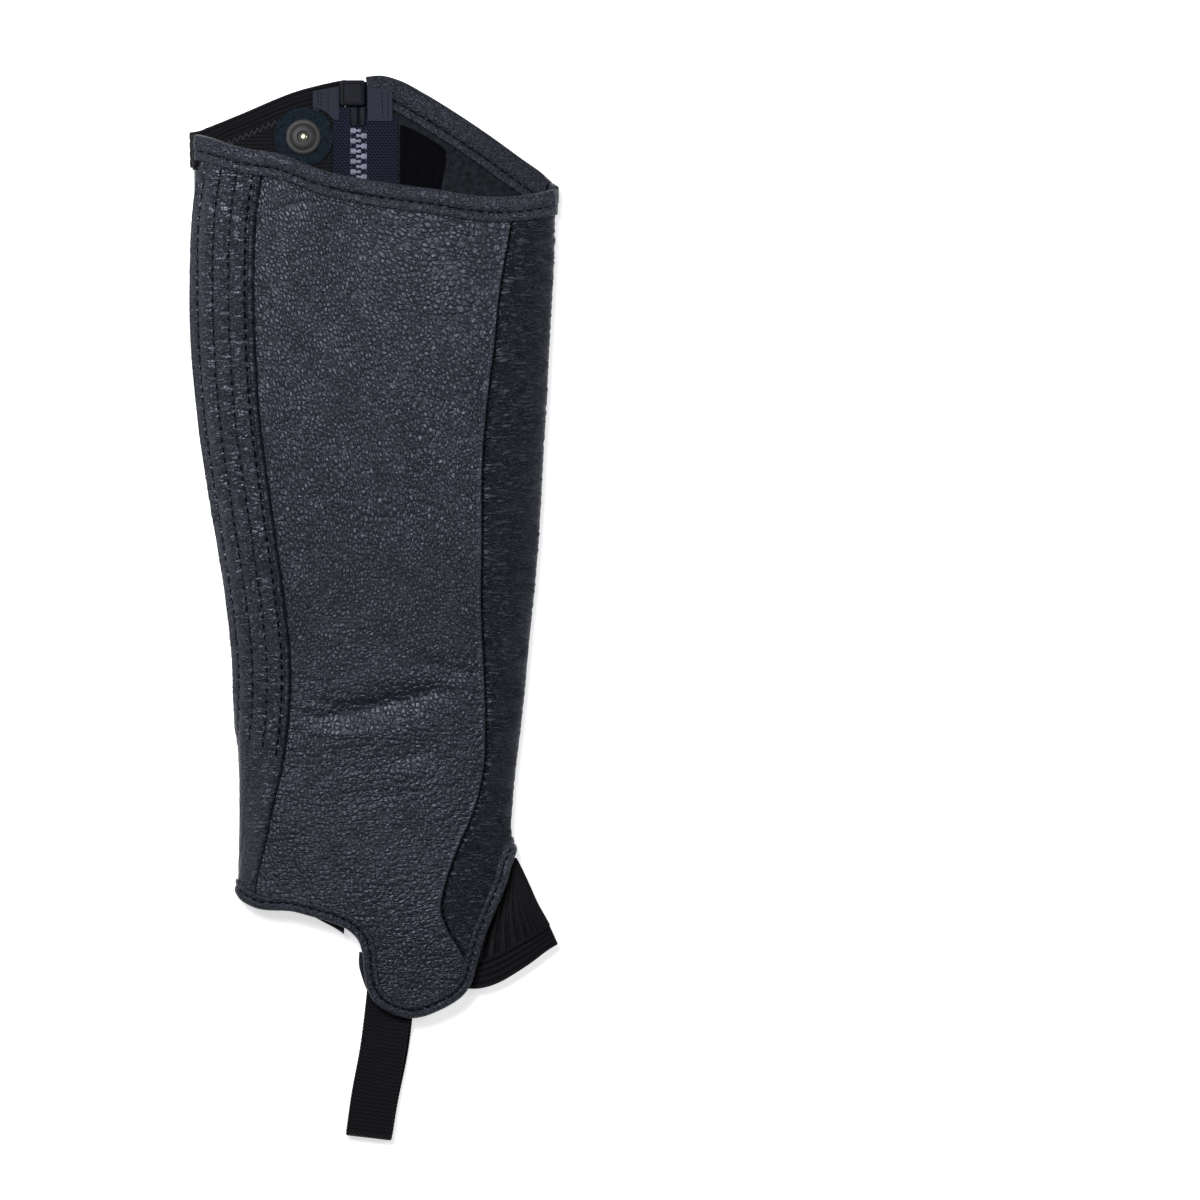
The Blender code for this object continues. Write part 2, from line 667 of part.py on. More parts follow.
def strip_line(distance, y):
    """Pattern line at a distance from the back seam, towards the back."""
    return back_seam(y) - GAP / 2 - distance * squeeze(y)


def strip_relief(distance, y, low, high):
    """Raised welt beside the seam, then raised channels between the stitch rows, flat under the bindings."""
    welt = WELT_RISE * np.sin(np.pi * np.clip(distance / WELT_WIDTH, 0, 1))
    channel = np.abs(np.sin(np.pi * (distance - ROW_FIRST) / ROW_PITCH)) ** 0.8
    last = ROW_FIRST + ROW_COUNT * ROW_PITCH
    within = (distance > ROW_FIRST) & (distance < last)
    relief = welt + CHANNEL_RISE * np.where(within, channel, 0.0) * smooth_step(y, *ROW_FADE)
    return relief * smooth_step(y, low + STRIP_ROWS_LOW[1], low + STRIP_ROWS_LOW[2]) * smooth_step(
        high - y, STRIP_ROWS_HIGH[1], STRIP_ROWS_HIGH[0]
    )


def strip_foot(u):
    """Height of the covered hem edge along the strip's foot."""
    near = around_hem[around_hem[:, 0] < back_seam(-150.0) + 8.0]
    order = np.argsort(near[:, 0])
    return np.interp(u, near[order, 0], near[order, 1])


def stretch_strip(finish):
    """From the back seam round the back fold and in under the leg. Returns the line of its end under the leg."""
    channels = ROW_FIRST + ROW_PITCH * np.arange(0, ROW_COUNT - 1 + 0.1, 0.25)
    ends = [31.8, STRIP_NOTCH, STRIP_NOTCH + 0.6, 35.8, 37.6, 39.6, 41.8, 44.6, STRIP_WIDTH]
    distance = np.concatenate([[0, 1.4, 2.8], channels, ends])
    y = np.full((22, len(distance)), 50.0)
    share = np.linspace(0, 1, 18)[1:-1, None]
    for _ in range(16):
        u = strip_line(distance, y)
        x = LEG.over(u, y)[..., 0]
        high = np.where(distance > STRIP_NOTCH, STRIP_NOTCH_Y, upper_top(x[-1]) - EDGE_INSET)
        low = strip_foot(u[0])
        first, last = low + STRIP_ROWS_LOW[:, None], high - STRIP_ROWS_HIGH[:, None]
        y = np.concatenate([first, first[-1] + (last[0] - first[-1]) * share, last])
    relief = strip_relief(distance, y, low, high)
    inner = LEG.over(u, y, LEATHER)
    wall("stretch_strip", LEG.over(u, y, -relief), inner, finish)
    return inner[:, -1, :2]


# ---- lower layer ----

def lattice(pitch, low, high):
    x, y = np.meshgrid(np.arange(low[0], high[0], pitch), np.arange(low[1], high[1], pitch))
    return np.stack([x, y], axis=-1).reshape(-1, 2)


RISE_POINTS = lattice(7.5, (-64.0, -205.0), (50.0, -100.0))


def outer_front_panel(finish):
    """In front of the zip, with the ankle tab below."""
    seam = beside(under_seam_x, -GAP / 2)
    zip_side = ZIP_X + OPEN_HALF
    foot = split(front_hem_edge, seam)[0]
    head = split(outer_mouth_edge, seam)[0]
    head[0, 0] = zip_side
    up = side_line(seam, foot[-1, 1], head[-1, 1], 14.0)
    corner = np.array([[zip_side, -100.0], [zip_side, -150.0], [zip_side, foot[0, 1] + 1.0]])
    down = side_line(lambda y: np.full(np.shape(y), zip_side), -100.0, head[0, 1], 40.0)[::-1]
    ramp = side_line(lambda y: np.full(np.shape(y), zip_side), -150.0, -100.0, 7.0)[::-1]
    outline = np.concatenate([foot, up, head[::-1], down, corner[:1], ramp, corner[1:]])
    points = np.concatenate([RISE_POINTS, lattice(24.0, (10.0, -84.0), (70.0, 260.0))])
    panel("outer_front_panel", outline, points, 3.0, LEG.below, LEATHER, finish)


def outer_back_panel(strip_end, finish):
    """Stretch fabric behind the zip, below the elastic band."""
    zip_side = ZIP_X - OPEN_HALF
    left = strip_end + [GAP, 0.0]
    foot = back_hem_edge[back_hem_edge[:, 0] > left[0, 0] + 0.5]
    foot = np.concatenate([[[left[0, 0], np.interp(left[0, 0], *back_hem_edge.T)]], foot])
    foot[-1, 0] = zip_side
    left = left[(left[:, 1] > foot[0, 1] + 2.0)]
    across = np.linspace(left[-1, 0], zip_side, 9)
    head = np.stack([across, lower_top(across) - band_width(across) - GAP], axis=-1)
    up = side_line(lambda y: np.full(np.shape(y), zip_side), foot[-1, 1], head[-1, 1], 7.0)
    up = up[(up[:, 1] < -96.0) | (np.arange(len(up)) % 5 == 0)]
    outline = np.concatenate([foot, up, head[::-1], left[:-1][::-1]])
    points = np.concatenate([RISE_POINTS, lattice(24.0, (-70.0, -84.0), (-20.0, 250.0))])
    panel("outer_back_panel", outline, points, 3.0, LEG.below, STRETCH, finish)


def band_width(x):
    """Height of the elastic band, which is taller where it wraps the back fold."""
    return BAND_WIDTH + (BAND_WIDTH_AT_FOLD - BAND_WIDTH) * (1 - smooth_step(x, -93.0, -78.0))


def ribs(share, count):
    """Raised ribs across a band: share runs from one edge to the other."""
    return RIB_RISE * (0.5 - 0.5 * np.cos(2 * np.pi * count * share))


def top_elastic(finish):
    """Ribbed band along the back of the mouth, from the upper layer round the back fold to the zip."""
    wrap = np.linspace(BAND_START_TURN, 3.0, 8)
    reach = (ZIP_X - OPEN_HALF) - LEG.back(260.0) - BACK_RUN
    flat = 3.0 + np.linspace(0, reach / (BACK_RUN * math.pi / 2), 9)[1:]
    turn = np.concatenate([wrap, flat])
    share = np.linspace(0, 1, 2 * BAND_RIBS + 1)[:, None]
    y = np.full((len(share), len(turn)), 245.0)
    for _ in range(14):
        x = LEG.point(turn, y)[..., 0]
        top = mouth_y(turn, x)
        y = top - share * band_width(x)
    relief = ribs(share, BAND_RIBS)
    proud = np.where(turn < 2.7, 0.4, 0.0)
    raised = LEG.point(turn, y, np.where(turn < 2.7, -proud - relief, 0.0))
    inner = LEG.point(turn, y, np.where(turn < 2.7, BAND_THICK, BAND_THICK + relief))
    wall("top_elastic", raised, inner, finish)


# ---- bindings ----

def fold_profile(leaf, stitch, inner_leaf):
    """Section of a binding folded over an edge. Columns: outer face's reach and depth, inner face's reach and depth."""
    face, back = -GAP - BINDING, LEATHER + GAP + BINDING
    cover = EDGE_INSET - GAP
    return np.array([
        (leaf, face, leaf, -GAP),
        (stitch, face + 0.5, stitch, -GAP),
        (stitch - 1.4, face - 0.2, stitch - 1.4, -GAP),
        (0.9, face - 0.15, cover, -GAP),
        (0.0, LEATHER / 2, cover, LEATHER / 2),
        (0.9, back, cover, LEATHER + GAP),
        (inner_leaf, back, inner_leaf, LEATHER + GAP),
    ])


def flush_profile(leaf, stitch):
    """Section of a binding that covers an edge and the inner face, level with the panel underneath."""
    back = LEATHER + GAP + FACING_THICK
    cover = EDGE_INSET - GAP
    return np.array([
        (leaf, back, leaf, LEATHER + GAP),
        (stitch, back - 0.4, stitch, LEATHER + GAP),
        (stitch - 1.4, back + 0.1, stitch - 1.4, LEATHER + GAP),
        (0.8, back, cover, LEATHER + GAP),
        (0.0, LEATHER / 2, cover, LEATHER / 2),
        (0.2, 0.0, cover, 0.0),
    ])


def binding(name, line, normals, profile, place, finish):
    """A binding's section carried along its outer line."""
    grids = []
    for across, deep in ((0, 1), (2, 3)):
        points = line[:, None] + profile[None, :, across, None] * normals[:, None]
        grids.append(place(points[..., 0], points[..., 1], profile[None, :, deep]))
    wall(name, *grids, finish)


def bindings(finish):
    mouth_profile = fold_profile(TOP_LEAF, TOP_STITCH, INNER_LEAF)
    binding("top_binding", mouth, np.tile([0.0, -1.0], (len(mouth), 1)), mouth_profile, LEG.over, finish)
    facing = flush_profile(FACING, FACING_STITCH)
    binding("outer_top_binding", outer_mouth, outer_mouth_inward, facing, LEG.below, finish)
    hem_profile = fold_profile(HEM_LEAF, HEM_STITCH, HEM_STITCH)
    binding("hem_binding", hem_line, hem_inward, hem_profile, LEG.over, finish)
    flush = flush_profile(HEM_LEAF, HEM_STITCH)
    binding("outer_hem_front", front_hem, front_hem_inward, flush, LEG.below, finish)
    binding("outer_hem_back", back_hem, back_hem_inward, flush, LEG.below, finish)


# ---- gusset ----

def fan_turn(y):
    """How far the gusset reaches in between the layers, as a turn."""
    side = curve(*np.array(FAN_SIDE).T)
    return FAN.turn_at(side(y), y)


def fan_grid(shares, low, high, rows):
    """Grid between two border lines of the fan, which are the same on both of its leaves."""
    position = np.abs(shares)
    v = np.linspace(0, 1, rows)[:, None]
    y = low(position) * (1 - v) + high(position) * v
    return shares * fan_turn(y), y


def mirrored(turn, y, depth):
    """The upper leaf has a positive turn. The lower leaf mirrors it under the fold."""
    upper = FAN.point(np.maximum(turn, 0.0), y, depth)
    lower = FAN.point(np.maximum(-turn, 0.0), y, depth)
    crown = FAN.crown(y)
    tip_z = GUSSET_FLOOR + (crown - GUSSET_FLOOR) * SHIN_TIP
    share = (tip_z - GUSSET_FLOOR - depth) / (crown - depth - tip_z)
    lower[..., 2] = tip_z - (lower[..., 2] - tip_z) * share
    return np.where(turn[..., None] < 0, lower, upper)


def gusset(finish):
    """Pleated fan over the instep, folded in two."""
    shares = np.linspace(-1, 1, 2 * PLEATS + 1)
    low = curve(*np.array(FAN_LINE).T)
    rows = 6
    turn, y = fan_grid(shares, low, lambda p: GUSSET_TOP - 1.0 * p, rows)
    v = np.linspace(0, 1, rows)[:, None]
    ridge = np.where(np.arange(len(shares)) % 2, 1.0, -1.0) * PLEAT_RISE * (1 - 0.75 * v)
    fade = smooth_step(np.abs(shares), 0.01, 0.08)
    wall("gusset", mirrored(turn, y, -ridge * fade), mirrored(turn, y, GUSSET), finish)


def gusset_elastic(finish):
    """Ribbed elastic hem of the gusset."""
    shares = np.concatenate([np.linspace(-1, -0.1, 9), np.linspace(-0.1, 0.1, 5)[1:-1], np.linspace(0.1, 1, 9)])
    low = curve(*np.array(HEM_LINE).T)
    high = curve(*np.array(FAN_LINE).T)
    rows = 2 * BAND_RIBS + 1
    turn, y = fan_grid(shares, low, lambda p: high(p) - 2 * GAP, rows)
    relief = ribs(np.linspace(0, 1, rows)[:, None], BAND_RIBS) * smooth_step(np.abs(shares), 0.0, 0.1)
    wall("gusset_elastic", mirrored(turn, y, -relief), mirrored(turn, y, GUSSET), finish)


# ---- foot strap ----

def foot_strap(finish):
    """One elastic strap from the upper tab, round its end, back to the lower tab."""
    centre_x = by_y(STRAP_LINE, 0, 1)
    end_y = STRAP_LINE[-1][1] + STRAP_END
    half = STRAP / 2
    over_y = np.linspace(-196.0, end_y, 12)
    over_z = curve([end_y, -225.0, -215.0, -196.0], [2 * STRAP_END - half, 6.5, 6.5, 6.9])(over_y)
    angle = np.linspace(90, -90, 9)[1:-1] * math.pi / 180
    end_z = STRAP_END + (STRAP_END - half) * np.sin(angle)
    round_y = end_y - (STRAP_END - half) * np.cos(angle)
    under_y = np.concatenate([np.linspace(end_y, -229.0, 6), np.linspace(-229.0, -213.0, 6)[1:], [-204.0, -198.0]])
    over_tab = smooth_step(under_y, -228.0, -213.0) * (LEATHER + 2 * GAP + BINDING + 0.4)
    rise = over_tab + slider_bump(centre_x(under_y), under_y)
    line_y = np.concatenate([over_y, round_y, under_y])
    line_z = np.concatenate([over_z, end_z, half + rise])
    shift = STRAP_SHIFT * smooth_step(np.arange(len(line_y)), len(over_y) + 3, len(line_y) - 8)
    line_x = centre_x(line_y) + shift
    along = np.stack([np.gradient(line_x), np.gradient(line_y), np.gradient(line_z)], axis=-1)
    lean = np.stack([centre_x(line_y + 1) - centre_x(line_y - 1), np.full(line_y.shape, 2.0)], axis=-1)
    lean /= np.linalg.norm(lean, axis=1, keepdims=True)
    across = np.stack([lean[:, 1], -lean[:, 0], np.zeros(line_y.shape)], axis=-1)
    out = np.cross(across, along)
    out /= np.linalg.norm(out, axis=1, keepdims=True)
    centre = np.stack([line_x, line_y, line_z], axis=-1)
    sides = np.array([-0.5, 0.0, 0.5])[None, :, None] * STRAP_WIDTH * across[:, None]
    outer = centre[:, None] + sides + half * out[:, None]
    inner = centre[:, None] + sides - half * out[:, None]
    wall("foot_strap", outer, inner, finish)


# ---- zip ----

def zip_strip(name, left, right, top, bottom, low, high, rows, finish):
    """A strip of the zip, which follows the lower layer."""
    y = np.concatenate([np.linspace(bottom, -100.0, rows), [top]])[:, None]
    x = np.array([left, right])[None, :]
    wall(name, LEG.below(x, y, low), LEG.below(x, y, high), finish)


def zip_parts(tape, teeth, hard):
    half = CHAIN_WIDTH / 2
    low = CHAIN_MIDDLE - TAPE / 2
    high = CHAIN_MIDDLE + TAPE / 2
    back = ZIP_X - half - GAP
    front = ZIP_X + half + GAP
    zip_strip("zip_tape_back", TAPE_BACK, back, BOX_LOW_Y - GAP, -159.4, low, high, 10, tape)
    zip_strip("zip_tape_front", front, TAPE_FRONT, 258.0, -163.4, low, high, 10, tape)
    chain_low = CHAIN_MIDDLE - CHAIN_THICK / 2
    chain_high = CHAIN_MIDDLE + CHAIN_THICK / 2
    zip_strip(
        "zip_chain", ZIP_X - half, ZIP_X + half, ZIP_TOP, SLIDER_Y - 4.0, chain_low, chain_high, 10, teeth
    )
    pin_low, pin_high = CHAIN_MIDDLE - 1.3, CHAIN_MIDDLE + 1.3
    pin_top = BOX_LOW_Y - GAP
    box("zip_pin_back", (ZIP_X - half, ZIP_TOP + GAP, pin_low), (ZIP_X - 0.3, pin_top, pin_high), hard)
    box("zip_pin_front", (ZIP_X + 0.3, ZIP_TOP + GAP, pin_low), (ZIP_X + half - 0.6, pin_top, pin_high), hard)
    base = LEATHER + GAP
    box("zip_box", (-18.1, BOX_LOW_Y, base), (-5.0, 276.8, base + BOX_THICK), hard)


def slider(finish):
    """Two plates joined by a post where the chain parts, and a staple for the pull."""
    middle = SLIDER_LIFT + CHAIN_MIDDLE
    clear = CHAIN_THICK / 2 + GAP
    low_y, high_y = SLIDER_Y - SLIDER_LENGTH / 2, SLIDER_Y + SLIDER_LENGTH / 2
    narrow, wide = SLIDER_WIDTH * 0.42, SLIDER_WIDTH / 2
    outline = (
        (ZIP_X - wide, low_y), (ZIP_X + wide, low_y), (ZIP_X + wide, SLIDER_Y),
        (ZIP_X + narrow, high_y), (ZIP_X - narrow, high_y), (ZIP_X - wide, SLIDER_Y),
    )
    plate = prism("zip_slider", outline, middle + clear, middle + clear + SLIDER_PLATE, finish)
    lower = prism("slider_lower_plate", outline, middle - clear - SLIDER_PLATE, middle - clear, finish)
    post = box(
        "slider_post", (ZIP_X - 1.2, low_y + 0.4, middle - clear - 0.5), (ZIP_X + 1.2, low_y + 3.2, middle + clear + 0.5),
        finish,
    )
    face = middle - clear - SLIDER_PLATE
    bar = face - PULL_AXIS_DROP
    staple = staple_ring(bar, face, finish)
    for piece in (lower, post, staple):
        piece.hide_render = True
        piece.display_type = "WIRE"
        join = plate.modifiers.new(piece.name, "BOOLEAN")
        join.operation = "UNION"
        join.object = piece


def staple_ring(bar, face, finish):
    """The slider's loop: two feet on the plate and a bar under the pull."""
    y = SLIDER_Y
    outline = (
        (y - 2.4, face + 0.5), (y - 2.4, bar - 1.95), (y + 2.4, bar - 1.95), (y + 2.4, face + 0.5),
        (y + 1.2, face + 0.5), (y + 1.2, bar - 1.05), (y - 1.2, bar - 1.05), (y - 1.2, face + 0.5),
    )
    points = [(ZIP_X + side * 1.4, a, b) for side in (-1, 1) for a, b in outline]
    count = len(outline)
    faces = [list(range(count))[::-1], list(range(count, 2 * count))]
    faces += [[k, (k + 1) % count, (k + 1) % count + count, k + count] for k in range(count)]
    return solid("slider_staple", points, faces, finish)


def pull_tab(finish):
    """Pull tab with a window at its hinge end. Its crossbar turns in the slider's staple."""
    axis_z = SLIDER_LIFT + CHAIN_MIDDLE - CHAIN_THICK / 2 - GAP - SLIDER_PLATE - PULL_AXIS_DROP
    half = PULL_WIDTH / 2
    window = 2.0
    near, far = -0.6, PULL_LENGTH
    outer = [
        (-half, near), (half, near), (half, far * 0.75), (half * 0.8, far * 0.93), (0.0, far),
        (-half * 0.8, far * 0.93), (-half, far * 0.75), (-half, far * 0.35),
    ]
    inner = [
        (-window, -near), (window, -near), (window, 5.6), (window * 0.6, 6.0), (0.0, 6.1),
        (-window * 0.6, 6.0), (-window, 5.6), (-window, 3.0),
    ]
    count = len(outer)
    points = []
    for z in (-PULL_THICK / 2, PULL_THICK / 2):
        for loop in (outer, inner):
            points += [(x, y, z) for x, y in loop]
    faces = []
    for k in range(count):
        n = (k + 1) % count
        faces.append([k, k + count, n + count, n])
        faces.append([k + 2 * count, n + 2 * count, n + 3 * count, k + 3 * count])
        faces.append([k, n, n + 2 * count, k + 2 * count])
        faces.append([k + count, k + 3 * count, n + 3 * count, n + count])
    pull = solid("zip_pull", points, faces, finish)
    pull.location = (ZIP_X * MM, SLIDER_Y * MM, axis_z * MM)


# ---- small pieces on the lower layer ----

def patches(satin, guard, patch):
    low = CHAIN_MIDDLE + TAPE / 2 + GAP
    back = ((-32.3, 271.0), (-18.5, 273.6), (-18.5, 256.0), (-21.0, 256.0), (-24.6, 259.6), (-28.4, 261.9), (-32.3, 262.8))
    prism("zip_patch_back", back, low, low + PATCH, satin)
    front_low = LEATHER + 2 * GAP + FACING_THICK + 0.15
    front = ((-3.6, 273.0), (9.4, 271.4), (9.4, 255.4), (-3.6, 255.4))
    prism("zip_patch_front", front, front_low, front_low + PATCH, satin)
    base = LEATHER + GAP
    outline = ((13.4, 254.0), (22.0, 250.4), (33.6, 243.6), (37.2, 240.6), (37.5, 233.5), (33.7, 216.0), (13.4, 212.0))
    prism("guard_patch", outline, base, base + PATCH, guard)
    ring = np.linspace(0, 2 * math.pi, 33)[:-1]
    disc = [(SNAP_X + SNAP_PATCH_RADIUS * math.cos(a), SNAP_Y + SNAP_PATCH_RADIUS * math.sin(a)) for a in ring]
    disc_low = LEATHER + GAP
    prism("snap_patch", disc, disc_low, disc_low + 1.0, patch)


def snap_ring(metal):
    """Turned ring with a sunk middle."""
    base = LEATHER + 1.0 + 2 * GAP
    profile = (
        (9.2, 0.0), (9.2, 0.5), (8.6, 0.9), (6.8, 1.3), (6.3, 1.2), (5.8, 1.5), (3.6, 1.8), (2.9, 1.5),
        (2.7, 0.7), (1.6, 0.7), (0.9, 1.1),
    )
    steps = 28
    points, faces = [], []
    for r, z in profile:
        for k in range(steps):
            a = 2 * math.pi * k / steps
            points.append((SNAP_X + r * math.cos(a), SNAP_Y + r * math.sin(a), base + z))
    faces += grid_ring_faces(len(profile), steps)
    top = len(points)
    points.append((SNAP_X, SNAP_Y, base + 1.25))
    bottom = len(points)
    points.append((SNAP_X, SNAP_Y, base))
    last = (len(profile) - 1) * steps
    for k in range(steps):
        n = (k + 1) % steps
        faces.append([last + k, last + n, top])
        faces.append([n, k, bottom])
    solid("snap_ring", points, faces, metal)


def grid_ring_faces(rings, steps):
    faces = []
    for r in range(rings - 1):
        for k in range(steps):
            n = (k + 1) % steps
            faces.append([r * steps + k, r * steps + n, (r + 1) * steps + n, (r + 1) * steps + k])
    return faces


def main():
    for thing in list(bpy.data.objects):
        bpy.data.objects.remove(thing, do_unlink=True)
    leather = material("leather", (0.020, 0.022, 0.030), 0.45)
    edging = material("edging", (0.018, 0.020, 0.026), 0.45)
    elastic = material("elastic", (0.008, 0.008, 0.010), 0.85)
    tape = material("tape", (0.012, 0.014, 0.024), 0.85)
    teeth = material("teeth", (0.16, 0.16, 0.22), 0.4)
    hard = material("hard", (0.03, 0.03, 0.035), 0.4)
    slider_metal = material("slider_metal", (0.02, 0.02, 0.022), 0.35, 0.5)
    satin = material("satin", (0.05, 0.06, 0.10), 0.6)
    guard = material("guard", (0.003, 0.003, 0.004), 0.6)
    patch = material("patch", (0.010, 0.015, 0.024), 0.8)
    metal = material("metal", (0.10, 0.10, 0.10), 0.4, 0.6)

    centre_panel(leather)
    shin_panel(leather)
    strip_end = stretch_strip(leather)
    outer_front_panel(leather)
    outer_back_panel(strip_end, elastic)
    top_elastic(elastic)
    bindings(edging)
    gusset(elastic)
    gusset_elastic(elastic)
    foot_strap(elastic)
    zip_parts(tape, teeth, hard)
    slider(slider_metal)
    pull_tab(slider_metal)
    patches(satin, guard, patch)
    snap_ring(metal)


main()
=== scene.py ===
"""Cloth, leather, zip and stitching of a half chap that lies flat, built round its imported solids.

+X points to the shin fold, +Y up the leg and +Z away from the surface it lies on. Sizes here are in millimetres,
and become metres as each mesh is made. Run it as a script.
"""

import math

import bpy
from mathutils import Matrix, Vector
import numpy as np
from bpy.props import FloatProperty, FloatVectorProperty, PointerProperty


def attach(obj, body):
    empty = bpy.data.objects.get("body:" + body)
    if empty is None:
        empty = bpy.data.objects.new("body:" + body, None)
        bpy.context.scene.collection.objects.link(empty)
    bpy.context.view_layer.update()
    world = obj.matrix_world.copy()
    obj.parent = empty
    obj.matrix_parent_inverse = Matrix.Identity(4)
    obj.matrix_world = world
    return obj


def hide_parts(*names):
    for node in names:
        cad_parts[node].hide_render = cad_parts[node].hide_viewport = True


bl_info = {
    "name": "Half chap",
    "version": (1, 0, 0),
    "blender": (4, 5, 0),
    "location": "3D View > Sidebar > Half chap",
    "description": "Leather, elastic, zip and stitching of a half chap that lies flat",
    "category": "Add Mesh",
}

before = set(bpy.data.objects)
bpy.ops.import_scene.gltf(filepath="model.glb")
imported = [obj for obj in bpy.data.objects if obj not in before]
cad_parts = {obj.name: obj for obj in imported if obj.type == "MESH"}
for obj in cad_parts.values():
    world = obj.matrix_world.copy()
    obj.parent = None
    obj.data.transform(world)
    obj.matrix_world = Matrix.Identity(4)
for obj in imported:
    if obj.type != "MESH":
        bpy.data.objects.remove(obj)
MM = 0.001
# Rounds that settle a line whose place depends on its own height.
ROUNDS = 14

# ---- thicknesses and clearances, as in the solids ----
GAP = 0.3
LEATHER = 1.8
BINDING = 1.0
STRETCH = 1.8
STRAP = 1.4
TAPE = 0.7
PATCH = 0.6
GUSSET = 1.4

# ---- the flattened tube: y, back fold, shin fold, height of the upper layer ----
SECTIONS = (
    (280.0, -94.8, 97.0, 17.5), (248.0, -94.8, 96.6, 17.5), (214.0, -94.5, 95.3, 17.5),
    (188.0, -96.1, 94.5, 17.5), (161.0, -96.9, 93.2, 17.5), (135.0, -96.1, 91.9, 17.4),
    (109.0, -93.7, 90.6, 17.2), (83.0, -90.6, 88.9, 17.0), (56.0, -85.8, 87.6, 16.6),
    (30.0, -81.1, 86.0, 16.2), (4.0, -76.9, 83.7, 15.8), (-22.0, -74.2, 80.9, 15.4),
    (-48.0, -72.9, 78.4, 15.0), (-75.0, -71.2, 75.6, 14.8), (-101.0, -70.7, 72.7, 14.7),
    (-117.0, -70.7, 71.8, 14.6), (-127.0, -70.9, 74.0, 14.5), (-134.0, -71.1, 79.5, 14.5),
    (-144.0, -71.6, 85.3, 14.5), (-155.0, -71.8, 90.0, 14.4), (-166.0, -71.8, 96.0, 14.1),
    (-176.0, -71.8, 101.0, 13.7), (-200.0, -71.8, 111.0, 12.5), (-217.0, -71.8, 117.0, 11.6),
)
SHIN_TIP = 0.42
BACK_TIP = 0.34
SHIN_RUN = 8.0
BACK_RUN = 6.0
CROWN_RISE = 0.9
CROWN_REACH = 0.65

# ---- instep gusset: y, shin fold ----
GUSSET_SECTIONS = (
    (-120.0, 69.5), (-127.0, 72.2), (-134.0, 75.9), (-144.0, 80.6), (-154.5, 85.3), (-165.0, 91.1),
    (-176.0, 96.2), (-200.0, 107.0),
)
GUSSET_BACK = -71.0
GUSSET_FLOOR = 4.2
GUSSET_CROWN = ((-200.0, 7.7), (-185.0, 7.9), (-165.0, 8.4), (-120.0, 8.4))
GUSSET_TOP = -131.0
PLEATS = 26
PLEAT_RISE = 0.95
FAN_SIDE = ((-200.0, 46.0), (-188.0, 49.4), (-170.0, 54.2), (-150.0, 62.4), (-135.0, 68.6))

# ---- edges and seams, as seen from above: x, y ----
UPPER_TOP = (
    (-96.9, 248.7), (-92.7, 247.9), (-68.5, 240.6), (-48.6, 237.2), (-28.6, 229.6), (-8.1, 224.8),
    (11.8, 221.6), (34.4, 218.6), (45.4, 216.7), (65.4, 214.9), (81.1, 216.2), (97.2, 219.8),
)
LOWER_TOP = (
    (-96.9, 248.7), (-83.2, 254.0), (-66.7, 260.8), (-52.8, 266.8), (-40.7, 271.4), (-32.3, 273.7),
    (-18.6, 276.8), (-4.5, 279.0), (3.9, 279.6), (12.6, 277.3), (26.8, 269.9), (44.9, 258.7),
    (62.7, 246.6), (76.4, 236.6), (90.6, 226.2), (97.2, 219.8),
)
BACK_SEAM = (
    (-57.6, 236.0), (-58.5, 228.8), (-62.0, 205.7), (-63.3, 172.1), (-62.6, 135.3), (-60.1, 97.5),
    (-55.9, 65.0), (-51.7, 34.5), (-47.5, 4.1), (-44.4, -29.5), (-45.4, -60.0), (-48.6, -83.1),
    (-53.8, -105.7), (-59.1, -129.8), (-62.0, -142.4), (-63.6, -158.0),
)
SHIN_SEAM = (
    (74.0, 217.0), (72.7, 202.0), (69.0, 180.0), (65.9, 158.9), (63.8, 135.3), (62.0, 122.7),
    (58.0, 81.2), (57.3, 40.8), (57.0, 4.1), (58.5, -35.8), (59.3, -63.1), (58.0, -86.8),
    (51.7, -109.9), (43.8, -128.2), (37.6, -147.1), (35.9, -158.2), (39.1, -168.1), (45.7, -179.0),
    (53.0, -191.5),
)
UPPER_HEM = (
    (-69.0, -153.6), (-62.2, -157.1), (-41.7, -159.2), (-31.2, -162.0), (-21.8, -164.8), (-13.6, -168.6),
    (-8.2, -174.0), (-6.0, -181.0), (-5.2, -190.0), (-3.7, -198.6), (-0.3, -205.6), (6.0, -210.9),
    (12.5, -213.7), (19.7, -214.9), (26.5, -213.9), (34.0, -211.0), (41.0, -207.4), (46.4, -203.4),
    (50.7, -197.4), (53.8, -187.6), (58.5, -171.4), (63.8, -158.2), (69.4, -144.0), (72.2, -134.0),
)
HEM_AT_BACK_FOLD = -149.8
HEM_AT_SHIN_FOLD = -127.4
BACK_HEM = (
    (-69.0, -149.6), (-65.0, -150.8), (-60.0, -152.6), (-47.0, -156.0), (-36.0, -160.2), (-26.0, -165.2),
    (-20.0, -168.4), (-15.8, -171.2),
)
FRONT_HEM = (
    (-8.0, -180.5), (-8.2, -187.0), (-6.6, -194.0), (-3.4, -201.7), (2.9, -207.6), (11.0, -210.4),
    (19.7, -211.2), (28.0, -210.2), (36.4, -207.0), (45.0, -201.0), (50.0, -192.0), (52.6, -184.0),
    (56.5, -169.2), (60.0, -156.1), (62.4, -146.0), (65.2, -138.0), (68.2, -132.4), (71.6, -128.8),
)
UNDER_SEAM = (
    (-172.0, 56.4), (-160.0, 54.2), (-140.0, 50.4), (-120.0, 47.6), (-101.0, 47.0), (-75.0, 49.6),
    (-48.0, 52.4), (-22.0, 54.9), (4.0, 57.7), (30.0, 60.0), (56.0, 61.6), (83.0, 62.9), (109.0, 64.6),
    (135.0, 65.9), (161.0, 67.2), (188.0, 68.5), (214.0, 69.3), (248.0, 70.6),
)

